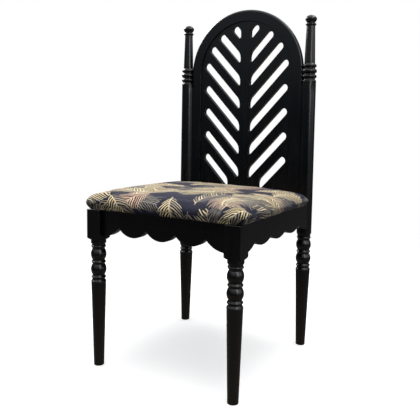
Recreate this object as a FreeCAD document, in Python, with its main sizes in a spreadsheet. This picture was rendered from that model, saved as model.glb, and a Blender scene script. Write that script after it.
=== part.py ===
import FreeCAD, Part
import Sketcher
import math
import os

V = FreeCAD.Vector
ROT = FreeCAD.Rotation
XA, YA, ZA = V(1, 0, 0), V(0, 1, 0), V(0, 0, 1)

# Painted side chair with an arched, pierced back panel and a loose upholstered seat.
# Millimetres, +Z up, the chair faces -Y, origin on the floor under the middle of its box.

DIMS = [
    # plan
    ("leg_x", 212.0), ("front_y", -218.0), ("rear_y", 229.2),
    # square block and turning shared by the four legs
    ("block_w", 44.5), ("rail_top", 439.5), ("block_bot", 357.0), ("block_cone", 361.6),
    ("foot_d", 28.0), ("foot_chamfer", 1.6), ("shoulder_d", 41.0), ("shoulder_z", 239.0), ("taper_top_d", 40.4),
    ("waist_d", 33.6), ("ring_d", 39.8), ("ball_d", 42.4), ("collar_d", 41.4), ("rear_extra", 1.3),
    ("waistE_z", 246.4), ("ringC_z", 251.4), ("waistD_z", 258.2), ("ballB_z", 273.1), ("waistC_z", 288.0),
    ("ringB_z", 293.9), ("waistB_z", 300.0), ("ballA_z", 315.0), ("waistA_z", 330.4), ("ringA_z", 337.4),
    ("neckA_z", 342.2), ("collar_bot", 345.8),
    # rear post above the seat
    ("post_d", 44.4), ("post_top_d", 41.0), ("post_shoulder_z", 808.0),
    ("midC_z", 819.8), ("midB_z", 835.5), ("midA_z", 850.9), ("midC_d", 43.4), ("midB_d", 44.0), ("midA_d", 41.6),
    ("mid_neck_d", 33.5), ("spire_bot_z", 864.3), ("spire_bot_d", 31.4), ("spire_top_z", 965.4), ("spire_top_d", 25.2),
    ("spire_ring_z", 970.6), ("spire_ring_d", 31.4), ("spire_neck_z", 976.0), ("spire_neck_d", 23.5),
    ("finial_z", 986.4), ("finial_d", 34.2), ("finial_h", 20.4),
    # aprons
    ("apron_t", 20.0), ("apron_front_off", 10.0), ("apron_side_off", 16.6), ("apron_bot", 368.0),
    ("lobe_bot", 373.2), ("cusp_f", 394.6), ("cusp_s", 387.0), ("rear_apron_bot", 374.0),
    ("lobe_pitch_f", 89.0), ("lobe_pitch_s", 96.5), ("side_first", 47.0), ("cusp_flat", 1.2),
    # back panel
    ("panel_t", 17.6), ("panel_off", 1.2), ("arch_round", 7.0), ("arch_r", 193.0), ("arch_z", 837.4), ("panel_bot", 439.5),
    ("tongue_x", 198.0), ("tongue_top", 795.0), ("groove_top", 860.0),
    ("field_r", 158.5), ("field_bot", 454.0), ("field_depth", 4.0),
    ("slot_w", 23.8), ("drop_w", 22.4), ("slot_tan", 1.057470), ("slot_cos", 0.687088), ("slot_sin", 0.726574),
    ("spine_x", 16.5), ("spine_x8", 55.0),
    # joints
    ("dowel_d", 8.0), ("dowel_in", 17.0), ("dowel_z1", 390.0), ("dowel_z2", 418.0),
    ("brace_far", 88.5), ("brace_near", 39.0), ("brace_bot", 409.5), ("brace_top", 435.5), ("brace_screw_z", 422.5),
    ("screw_d", 4.0), ("seat_screw_d", 5.0),
    # loose seat
    ("pad_x", 243.0), ("pad_front", -251.2), ("pad_rear", 203.8), ("pad_tongue_x", 185.5), ("pad_tongue_y", 220.0),
    ("pad_corner_f", 27.0), ("pad_corner_r", 24.0), ("pad_top", 482.5), ("cover_t", 1.6), ("board_t", 12.0),
    ("wrap_in", 46.0), ("pad_round", 20.0), ("pad_under", 7.0), ("board_in", 14.0),
    ("dust_x", 205.0), ("dust_front", -205.0), ("dust_rear", 215.0), ("dust_t", 0.8),
]

doc = FreeCAD.newDocument("side_chair")
sheet = doc.addObject("Spreadsheet::Sheet", "Dims")
D = {}
for row, (alias, value) in enumerate(DIMS, start=1):
    sheet.set("A%d" % row, alias)
    sheet.set("B%d" % row, repr(value))
    sheet.setAlias("B%d" % row, alias)
    D[alias] = value
doc.recompute()


class Q:
    """A size that carries its number and the sheet formula that gives it."""

    def __init__(self, num, expr):
        self.num, self.expr = float(num), expr

    @staticmethod
    def of(o):
        return o if isinstance(o, Q) else Q(o, "(%r)" % float(o))

    def __add__(self, o):
        o = Q.of(o)
        return Q(self.num + o.num, "(%s + %s)" % (self.expr, o.expr))

    __radd__ = __add__

    def __sub__(self, o):
        o = Q.of(o)
        return Q(self.num - o.num, "(%s - %s)" % (self.expr, o.expr))

    def __rsub__(self, o):
        return Q.of(o) - self

    def __mul__(self, o):
        o = Q.of(o)
        return Q(self.num * o.num, "(%s * %s)" % (self.expr, o.expr))

    __rmul__ = __mul__

    def __truediv__(self, o):
        o = Q.of(o)
        return Q(self.num / o.num, "(%s / %s)" % (self.expr, o.expr))

    def __neg__(self):
        return Q(-self.num, "(-1 * %s)" % self.expr)


def q(alias):
    return Q(D[alias], "Dims.%s" % alias)


def plane(body, role):
    return [f for f in body.Origin.OriginFeatures if f.Role == role][0]


def new_body(name):
    body = doc.addObject("PartDesign::Body", name)
    body.Label = name
    return body


def outline(body, name, role, loops, offset=None):
    """Sketch of closed loops. A loop is a list of (x, y) corners, or (x, y, r, side) for a
    corner reached by an arc of radius r whose centre lies to the left (+1) or right (-1).
    A half circle gives its centre's x as a fifth value, which fixes it in place of the radius."""
    sk = body.newObject("Sketcher::SketchObject", name)
    sk.AttachmentSupport = [(plane(body, role), "")]
    sk.MapMode = "FlatFace"
    if offset is not None:
        sk.AttachmentOffset = offset
    for loop in loops:
        geo, n = [], len(loop)
        first = sk.GeometryCount
        pts = [V(Q.of(p[0]).num, Q.of(p[1]).num, 0) for p in loop]
        for i, p in enumerate(loop):
            a, b = pts[i - 1], pts[i]
            if len(p) == 2:
                geo.append((Part.LineSegment(a, b), 1, 2, None))
            else:
                r, side = Q.of(p[2]), p[3]
                chord = b.sub(a)
                h = math.sqrt(max(r.num ** 2 - (chord.Length / 2.0) ** 2, 0.0))
                left = V(-chord.y, chord.x, 0)
                left.normalize()
                c = a.add(b).multiply(0.5).add(left.multiply(h * side))
                a0 = math.atan2(a.y - c.y, a.x - c.x)
                a1 = math.atan2(b.y - c.y, b.x - c.x)
                circle = Part.Circle(c, ZA, r.num)
                if side > 0:      # centre on the left: the path turns anticlockwise
                    geo.append((Part.ArcOfCircle(circle, a0, a1), 1, 2, r))
                else:
                    geo.append((Part.ArcOfCircle(circle, a1, a0), 2, 1, r))
        for g in geo:
            sk.addGeometry(g[0], False)
        for i in range(n):
            k = first + i
            prev = first + (i - 1) % n
            sk.addConstraint(Sketcher.Constraint("Coincident", prev, geo[(i - 1) % n][2], k, geo[i][1]))
        for i, p in enumerate(loop):
            k = first + i
            end = geo[i][2]
            for kind, val in (("DistanceX", Q.of(p[0])), ("DistanceY", Q.of(p[1]))):
                if abs(val.num) < 1e-9:
                    if kind == "DistanceX":
                        sk.addConstraint(Sketcher.Constraint("PointOnObject", k, end, -2))
                    else:
                        sk.addConstraint(Sketcher.Constraint("PointOnObject", k, end, -1))
                    continue
                ci = sk.addConstraint(Sketcher.Constraint(kind, -1, 1, k, end, val.num))
                if "Dims" in val.expr:
                    sk.setExpression("Constraints[%d]" % ci, val.expr)
            if len(p) == 5:
                ci = sk.addConstraint(Sketcher.Constraint("DistanceX", -1, 1, k, 3, p[4].num))
                sk.setExpression("Constraints[%d]" % ci, p[4].expr)
            elif len(p) > 2:
                r = geo[i][3]
                ci = sk.addConstraint(Sketcher.Constraint("Radius", k, r.num))
                if "Dims" in r.expr:
                    sk.setExpression("Constraints[%d]" % ci, r.expr)
    return sk


def pad(body, name, sk, length, mid=False):
    f = body.newObject("PartDesign::Pad", name)
    f.Profile = sk
    f.Length = length.num
    f.setExpression("Length", length.expr)
    f.Midplane = mid
    sk.Visibility = False
    return f


def place_expr(obj, x=None, y=None, z=None):
    base = [0.0, 0.0, 0.0]
    for i, val in enumerate((x, y, z)):
        if val is not None:
            base[i] = Q.of(val).num
    obj.Placement = FreeCAD.Placement(V(*base), obj.Placement.Rotation)
    for axis, val in (("x", x), ("y", y), ("z", z)):
        if val is not None and "Dims" in Q.of(val).expr:
            obj.setExpression("Placement.Base.%s" % axis, Q.of(val).expr)


def bore(body, name, dia, length, x, y, z, axis):
    """Round hole that starts at x, y, z and runs along the given axis."""
    before = body.Tip.Shape.Volume if body.Tip is not None else 0.0
    f = body.newObject("PartDesign::SubtractiveCylinder", name)
    f.Radius = dia.num / 2
    f.setExpression("Radius", "%s / 2" % dia.expr)
    f.Height = Q.of(length).num
    if "Dims" in Q.of(length).expr:
        f.setExpression("Height", Q.of(length).expr)
    f.Placement = FreeCAD.Placement(V(0, 0, 0), ROT(ZA, axis))
    place_expr(f, x, y, z)
    doc.recompute()
    if f.Shape.Volume >= before - 1.0:
        raise SystemExit("bore cuts nothing: " + name)
    return f


def soften(body, name, size, pick, chamfer=False):
    """Small radius on the picked edges of the current tip; kept only if it comes out whole."""
    doc.recompute()
    base = body.Tip
    names = ["Edge%d" % (i + 1) for i, e in enumerate(base.Shape.Edges) if pick(e)]
    if not names:
        print("soften: no edges", name)
        return None
    f = body.newObject("PartDesign::Chamfer" if chamfer else "PartDesign::Fillet", name)
    f.Base = (base, names)
    if chamfer:
        f.Size = size
    else:
        f.Radius = size
    doc.recompute()
    ok = ("Invalid" not in f.State and "Error" not in f.State and not f.Shape.isNull()
          and f.Shape.isValid() and len(f.Shape.Solids) == 1
          and 0.8 * base.Shape.Volume < f.Shape.Volume < 1.05 * base.Shape.Volume)
    if not ok:
        print("soften failed:", body.Name, name, len(names))
        body.removeObject(f)
        doc.removeObject(f.Name)
        body.Tip = base
        doc.recompute()
        return None
    return f


def ends(e):
    return [v.Point for v in e.Vertexes]


# ---------------------------------------------------------------- turned profiles
# Radius is sketch X, height is sketch Y, so the outline runs from the foot up.

def leg_turning(rear=False):
    more = q("rear_extra") if rear else Q.of(0)
    half = lambda a: q(a) / 2 + (more if a not in ("foot_d", "collar_d") else 0)
    neck = half("waist_d")
    ring = half("ring_d")
    ball = half("ball_d")
    p = [
        (Q.of(0), Q.of(0)),
        (half("foot_d") - q("foot_chamfer"), Q.of(0)),
        (half("foot_d"), q("foot_chamfer"), q("foot_chamfer"), 1),
        (half("taper_top_d"), q("shoulder_z") - 3.0),
        (half("shoulder_d"), q("shoulder_z") + 0.4),
        (half("shoulder_d") - 1.6, q("shoulder_z") + 3.2, Q.of(3.6), 1),
        (neck + 0.4, q("waistE_z") - 1.0),
        (neck + 0.4, q("waistE_z") + 0.9),
        (ring - 1.6, q("ringC_z") - 2.6),
        (ring - 1.6, q("ringC_z") + 2.6, Q.of(2.95), 1),
        (neck, q("waistD_z") - 1.2),
        (neck, q("waistD_z") + 0.6),
        (neck, q("ballB_z") + 14.3, Q.of(26.4), 1),
        (neck, q("waistC_z") + 1.0),
        (ring - 1.8, q("ringB_z") - 2.4),
        (ring - 1.8, q("ringB_z") + 2.4, Q.of(2.7), 1),
        (neck, q("waistB_z") - 1.2),
        (neck, q("waistB_z") + 0.7),
        (neck, q("ballA_z") + 14.3, Q.of(26.4), 1),
        (neck, q("waistA_z") + 1.2),
        (ring - 1.6, q("ringA_z") - 2.5),
        (ring - 1.6, q("ringA_z") + 2.5, Q.of(2.8), 1),
        (neck + 1.4, q("neckA_z") - 0.6),
        (neck + 1.4, q("neckA_z") + 1.2),
        (half("collar_d") - 1.2, q("collar_bot")),
        (half("collar_d"), q("collar_bot") + 1.6, Q.of(1.8), 1),
    ]
    return p


def add_front_leg(name, sx):
    body = new_body(name)
    prof = leg_turning()
    prof += [(q("collar_d") / 2, q("block_bot") + 0.2), (Q.of(0), q("block_bot") + 0.2)]
    sk = outline(body, "TurningProfile_" + name, "XZ_Plane", [prof])
    rev = body.newObject("PartDesign::Revolution", "Turning_" + name)
    rev.Profile = sk
    rev.ReferenceAxis = (sk, ["V_Axis"])
    rev.Angle = 360
    doc.recompute()
    h = q("block_w") / 2
    bs = outline(body, "BlockSection_" + name, "XY_Plane",
                 [[(h, -h), (h, h), (-h, h), (-h, -h)]],
                 FreeCAD.Placement(V(0, 0, D["block_bot"]), ROT()))
    bs.setExpression("AttachmentOffset.Base.z", "Dims.block_bot")
    pad(body, "Block_" + name, bs, q("rail_top") - q("block_bot"))
    doc.recompute()
    # the lathe rounds the lower corners of the block into the collar
    cone = outline(body, "ConeProfile_" + name, "XZ_Plane",
                   [[(q("collar_d") / 2 + 0.6, q("block_bot") - 1.0), (Q.of(36.0), q("block_bot") - 1.0),
                     (Q.of(36.0), q("block_cone") + 2.0), (Q.of(31.0), q("block_cone")),
                     (q("collar_d") / 2 + 0.6, q("block_bot"), Q.of(16.0), -1)]])
    before = body.Tip.Shape.Volume
    gr = body.newObject("PartDesign::Groove", "Shoulder_" + name)
    gr.Profile = cone
    gr.ReferenceAxis = (cone, ["V_Axis"])
    gr.Angle = 360
    doc.recompute()
    if gr.Shape.Volume >= before - 1:
        raise SystemExit("shoulder cuts nothing " + name)
    soften(body, "Arris_" + name, 1.4,
           lambda e: len(e.Vertexes) == 2 and isinstance(e.Curve, Part.Line)
           and (min(p.z for p in ends(e)) > D["block_bot"] + 1)
           and (abs(ends(e)[0].x - ends(e)[1].x) + abs(ends(e)[0].y - ends(e)[1].y) < 1e-6
                or min(p.z for p in ends(e)) > D["rail_top"] - 0.01))
    dd = q("dowel_d")
    for i, zc in enumerate(("dowel_z1", "dowel_z2")):
        # into the inner face for the front apron, and into the rear face for the side apron
        bore(body, "FrontBore%d_%s" % (i, name), dd, q("dowel_in") + 0.5,
             -sx * (q("block_w") / 2), Q.of(0), q(zc), V(sx, 0, 0))
        bore(body, "SideBore%d_%s" % (i, name), dd, q("dowel_in") + 0.5,
             sx * (q("apron_side_off") - q("apron_t") / 2), q("block_w") / 2, q(zc), V(0, -1, 0))
    place_expr(body, sx * q("leg_x"), q("front_y"), Q.of(0))
    return body


def add_rear_post(name, sx):
    body = new_body(name)
    prof = leg_turning(True)
    half = lambda a: q(a) / 2
    neck = half("mid_neck_d")
    prof += [
        (half("post_d") - 0.9, q("collar_bot") + 3.4),
        (half("post_d"), q("collar_bot") + 5.4, Q.of(2.6), -1),
        (half("post_d"), q("rail_top") + 6.0),
        (half("post_top_d"), q("post_shoulder_z") - 2.0),
        (half("post_top_d") - 2.2, q("post_shoulder_z") + 1.4, Q.of(3.2), 1),
        (neck + 0.6, q("midC_z") - 8.4),
        (neck + 0.6, q("midC_z") - 7.2),
        (half("midC_d") - 4.0, q("midC_z") - 5.3),
        (half("midC_d") - 4.0, q("midC_z") + 5.3, Q.of(5.5), 1),
        (neck, q("midC_z") + 7.0),
        (neck, q("midB_z") - 7.9),
        (half("midB_d") - 4.2, q("midB_z") - 6.2),
        (half("midB_d") - 4.2, q("midB_z") + 6.2, Q.of(6.7), 1),
        (neck, q("midB_z") + 7.9),
        (neck, q("midA_z") - 6.8),
        (half("midA_d") - 3.6, q("midA_z") - 5.0),
        (half("midA_d") - 3.6, q("midA_z") + 5.0, Q.of(5.3), 1),
        (neck - 1.0, q("midA_z") + 6.6),
        (half("spire_bot_d"), q("spire_bot_z")),
        (half("spire_top_d"), q("spire_top_z")),
        (half("spire_ring_d") - 1.8, q("spire_ring_z") - 2.6),
        (half("spire_ring_d") - 1.8, q("spire_ring_z") + 2.6, Q.of(2.8), 1),
        (half("spire_neck_d"), q("spire_neck_z") - 1.0),
        (half("spire_neck_d"), q("spire_neck_z") + 0.4),
        (half("finial_d") - 1.5, q("finial_z") - 4.6, Q.of(10.5), 1),
        (half("finial_d") - 1.5, q("finial_z") + 3.6, Q.of(6.4), 1),
        (Q.of(4.0), q("finial_z") + q("finial_h") / 2 + 0.6, Q.of(17.0), 1),
        (Q.of(0), q("finial_z") + q("finial_h") / 2 + 1.0),
    ]
    sk = outline(body, "TurningProfile_" + name, "XZ_Plane", [prof])
    rev = body.newObject("PartDesign::Revolution", "Turning_" + name)
    rev.Profile = sk
    rev.ReferenceAxis = (sk, ["V_Axis"])
    rev.Angle = 360
    doc.recompute()
    dd = q("dowel_d")
    # housing for the edge of the back panel: deep for its tongue, shallow past the beads
    for tag, reach, z0, z1 in (("Tongue", q("tongue_x"), q("panel_bot"), q("tongue_top")),
                               ("Bead", q("arch_r"), q("tongue_top"), q("groove_top"))):
        before = body.Tip.Shape.Volume
        f = body.newObject("PartDesign::SubtractiveBox", "%sHousing_%s" % (tag, name))
        w = q("post_d")
        f.Length = w.num
        f.setExpression("Length", w.expr)
        f.Width = D["panel_t"]
        f.setExpression("Width", "Dims.panel_t")
        hgt = z1 - z0
        f.Height = hgt.num
        f.setExpression("Height", hgt.expr)
        x_in = reach - q("leg_x")          # reach of the housing from the post axis, along the panel
        x0 = (x_in - w) if sx > 0 else -x_in
        place_expr(f, x0, q("panel_off") - q("panel_t") / 2, z0)
        doc.recompute()
        if f.Shape.Volume >= before - 1:
            raise SystemExit("housing cuts nothing " + name)
    for i, zc in enumerate(("dowel_z1", "dowel_z2")):
        bore(body, "RearBore%d_%s" % (i, name), dd, Q.of(22.0),
             -sx * (q("post_d") / 2 + 5.0), Q.of(0), q(zc), V(sx, 0, 0))
        bore(body, "SideBore%d_%s" % (i, name), dd, Q.of(22.0),
             sx * (q("apron_side_off") - q("apron_t") / 2), -(q("post_d") / 2 + 5.0), q(zc), V(0, 1, 0))
    for i, zc in enumerate(PANEL_DOWEL_Z):
        bore(body, "PanelBore%d_%s" % (i, name), dd, Q.of(20.5),
             sx * (q("tongue_x") - q("leg_x") - 0.5), q("panel_off"), Q.of(zc), V(sx, 0, 0))
    place_expr(body, sx * q("leg_x"), q("rear_y"), Q.of(0))
    return body


PANEL_DOWEL_Z = (482.0, 625.0, 768.0)

add_front_leg("front_leg_left", -1)
add_front_leg("front_leg_right", 1)
add_rear_post("rear_post_left", -1)
add_rear_post("rear_post_right", 1)


# ---------------------------------------------------------------- aprons
def arc_r(chord, sag):
    """Radius of an arc from its chord and rise."""
    return (chord * chord / 4 + sag * sag) / (2 * sag)


def scallop(length, first, pitch, cusp, last, flat=None):
    """Lower edge from the left end to the right end: half lobe, three lobes, half lobe. flat is the
    narrow flat that the saw leaves at each cusp."""
    low, lobe = q("apron_bot"), q("lobe_bot")
    pts = [(Q.of(0), low)]
    if flat is not None:
        h = flat / 2
        pts += [(first - h, cusp, arc_r(2 * (first - h), cusp - low), 1), (first + h, cusp)]
        x = first
        for i in range(3):
            x = x + pitch
            pts += [(x - h, cusp, arc_r(pitch - 2 * h, cusp - lobe), 1), (x + h, cusp)]
        pts.append((length, low, arc_r(2 * (last - h), cusp - low), 1))
        return pts
    pts.append((first, cusp, arc_r(2 * first, cusp - low), 1))
    x = first
    for i in range(3):
        x = x + pitch
        pts.append((x, cusp, arc_r(pitch, cusp - lobe), 1))
    pts.append((length, low, arc_r(2 * last, cusp - low), 1))
    return pts


def add_front_apron():
    body = new_body("front_apron")
    length = 2 * q("leg_x") - q("block_w")
    first = length / 2 - q("lobe_pitch_f") * 1.5
    loop = scallop(length, first, q("lobe_pitch_f"), q("cusp_f"), first, q("cusp_flat"))
    loop += [(length, q("rail_top")), (Q.of(0), q("rail_top"))]
    sk = outline(body, "ApronProfile", "XZ_Plane", [loop])
    pad(body, "ApronBoard", sk, q("apron_t"), True)
    doc.recompute()
    top = D["rail_top"]
    soften(body, "ApronArris", 1.2,
           lambda e: all(abs(p.y + D["apron_t"] / 2) < 1e-4 for p in ends(e)) and len(e.Vertexes) == 2
           and not (abs(ends(e)[0].x - ends(e)[1].x) < 1e-6))
    for i, zc in enumerate(("dowel_z1", "dowel_z2")):
        bore(body, "BoreL%d" % i, q("dowel_d"), q("dowel_in") + 0.5, Q.of(0), Q.of(0), q(zc), V(1, 0, 0))
        bore(body, "BoreR%d" % i, q("dowel_d"), q("dowel_in") + 0.5, length, Q.of(0), q(zc), V(-1, 0, 0))
    # pilot holes for the corner brace screws, in the inner face
    off = q("leg_x") + q("apron_side_off") - q("apron_t")
    for i, s in enumerate((-1, 1)):
        bore(body, "Pilot%d" % i, q("screw_d"), Q.of(12.0),
             length / 2 + s * (off - 64.0), q("apron_t") / 2, q("brace_screw_z"), V(0, -1, 0))
    place_expr(body, -(length / 2), q("front_y"), Q.of(0))
    return body


def add_rear_apron():
    body = new_body("rear_apron")
    length = 2 * q("leg_x")
    loop = [(Q.of(0), q("rear_apron_bot")), (length, q("rear_apron_bot")),
            (length, q("rail_top")), (Q.of(0), q("rail_top"))]
    sk = outline(body, "RearApronProfile", "XZ_Plane", [loop])
    pad(body, "RearApronBoard", sk, q("apron_t"), True)
    doc.recompute()
    for i, x in enumerate((Q.of(0), length)):
        bore(body, "Cope%d" % i, q("post_d"), Q.of(90.0), x, Q.of(0), q("rear_apron_bot") - 10.0, V(0, 0, 1))
    soften(body, "RearApronArris", 1.2,
           lambda e: len(e.Vertexes) == 2 and isinstance(e.Curve, Part.Line)
           and abs(ends(e)[0].x - ends(e)[1].x) > 100 and min(p.z for p in ends(e)) < D["rear_apron_bot"] + 1)
    edge = q("post_d") / 2
    for i, zc in enumerate(("dowel_z1", "dowel_z2")):
        bore(body, "BoreL%d" % i, q("dowel_d"), q("dowel_in") + 4.0, edge - 3.0, Q.of(0), q(zc), V(1, 0, 0))
        bore(body, "BoreR%d" % i, q("dowel_d"), q("dowel_in") + 4.0, length - edge + 3.0, Q.of(0), q(zc), V(-1, 0, 0))
    off = q("leg_x") + q("apron_side_off") - q("apron_t")
    for i, s in enumerate((-1, 1)):
        bore(body, "Pilot%d" % i, q("screw_d"), Q.of(12.0),
             length / 2 + s * (off - 64.0), -(q("apron_t") / 2), q("brace_screw_z"), V(0, 1, 0))
        bore(body, "PanelBore%d" % i, q("dowel_d"), q("dowel_in") + 1.5,
             length / 2 + s * 92.0, q("panel_off"), q("rail_top"), V(0, 0, -1))
    place_expr(body, -(length / 2), q("rear_y"), Q.of(0))
    return body


def add_side_apron(name, sx):
    # drawn on the YZ plane: sketch X runs along the chair's depth
    body = new_body(name)
    length = q("rear_y") - q("front_y") - q("block_w") / 2
    last = length - q("side_first") - 3 * q("lobe_pitch_s")
    loop = scallop(length - 21.0, q("side_first"), q("lobe_pitch_s"), q("cusp_s"), last - 21.0)
    loop += [(length, q("apron_bot")), (length, q("rail_top")), (Q.of(0), q("rail_top"))]
    sk = outline(body, "ApronProfile_" + name, "YZ_Plane", [loop])
    pad(body, "ApronBoard_" + name, sk, q("apron_t"), True)
    doc.recompute()
    # the rear end is coped to the round post
    post_x = -sx * (q("apron_side_off") - q("apron_t") / 2)
    bore(body, "Cope_" + name, q("post_d"), Q.of(110.0), post_x, length, q("apron_bot") - 10.0, V(0, 0, 1))
    if len(body.Tip.Shape.Solids) != 1:
        print("side apron solids", [round(x.Volume) for x in body.Tip.Shape.Solids])
    face = sx * D["apron_t"] / 2
    soften(body, "ApronArris_" + name, 1.2,
           lambda e: len(e.Vertexes) == 2 and all(abs(p.x - face) < 1e-4 for p in ends(e))
           and not (abs(ends(e)[0].y - ends(e)[1].y) < 1e-6))
    for i, zc in enumerate(("dowel_z1", "dowel_z2")):
        bore(body, "BoreF%d_%s" % (i, name), q("dowel_d"), q("dowel_in") + 0.5, Q.of(0), Q.of(0), q(zc), V(0, 1, 0))
        bore(body, "BoreR%d_%s" % (i, name), q("dowel_d"), q("dowel_in") + 4.0,
             Q.of(0), length - 18.0, q(zc), V(0, -1, 0))
    inner = -sx * (q("apron_t") / 2)
    y_front_corner = q("apron_front_off") - q("block_w") / 2          # inner face of the front apron
    y_rear_corner = length - q("apron_t") / 2                          # inner face of the rear apron
    bore(body, "PilotF_" + name, q("screw_d"), Q.of(12.0), inner, y_front_corner + 64.0, q("brace_screw_z"), V(sx, 0, 0))
    bore(body, "PilotR_" + name, q("screw_d"), Q.of(12.0), inner, y_rear_corner - 64.0, q("brace_screw_z"), V(sx, 0, 0))
    place_expr(body, sx * (q("leg_x") + q("apron_side_off") - q("apron_t") / 2),
               q("front_y") + q("block_w") / 2, Q.of(0))
    return body


add_front_apron()
add_rear_apron()
add_side_apron("side_apron_left", -1)
add_side_apron("side_apron_right", 1)


# ---------------------------------------------------------------- back panel
# centre of each opening's round outer end, for the right-hand side, top to bottom
SLOTS = [(34.5, 971.8, 0), (82.0, 949.2, 0), (115.5, 913.1, 0), (134.5, 861.2, 0), (133.6, 788.2, 0),
         (133.6, 715.5, 0), (133.6, 641.7, 0), (132.6, 566.8, 1)]


def slot_loop(cx, cz, short, sx, x_mid, width):
    r = q(width) / 2
    cut = q("spine_x8") if short else q("spine_x")
    cx, cz = Q.of(cx), Q.of(cz)
    ux, uz = cx - r * q("slot_sin"), cz + r * q("slot_cos")        # upper tangent point
    lx, lz = cx + r * q("slot_sin"), cz - r * q("slot_cos")        # lower tangent point
    ix_u = uz - (ux - cut) * q("slot_tan")
    ix_l = lz - (lx - cut) * q("slot_tan")
    if sx > 0:
        return [(x_mid + cut, ix_u), (x_mid + cut, ix_l), (x_mid + lx, lz), (x_mid + ux, uz, r, 1, x_mid + cx)]
    return [(x_mid - cut, ix_l), (x_mid - cut, ix_u), (x_mid - ux, uz), (x_mid - lx, lz, r, 1, x_mid - cx)]


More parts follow.
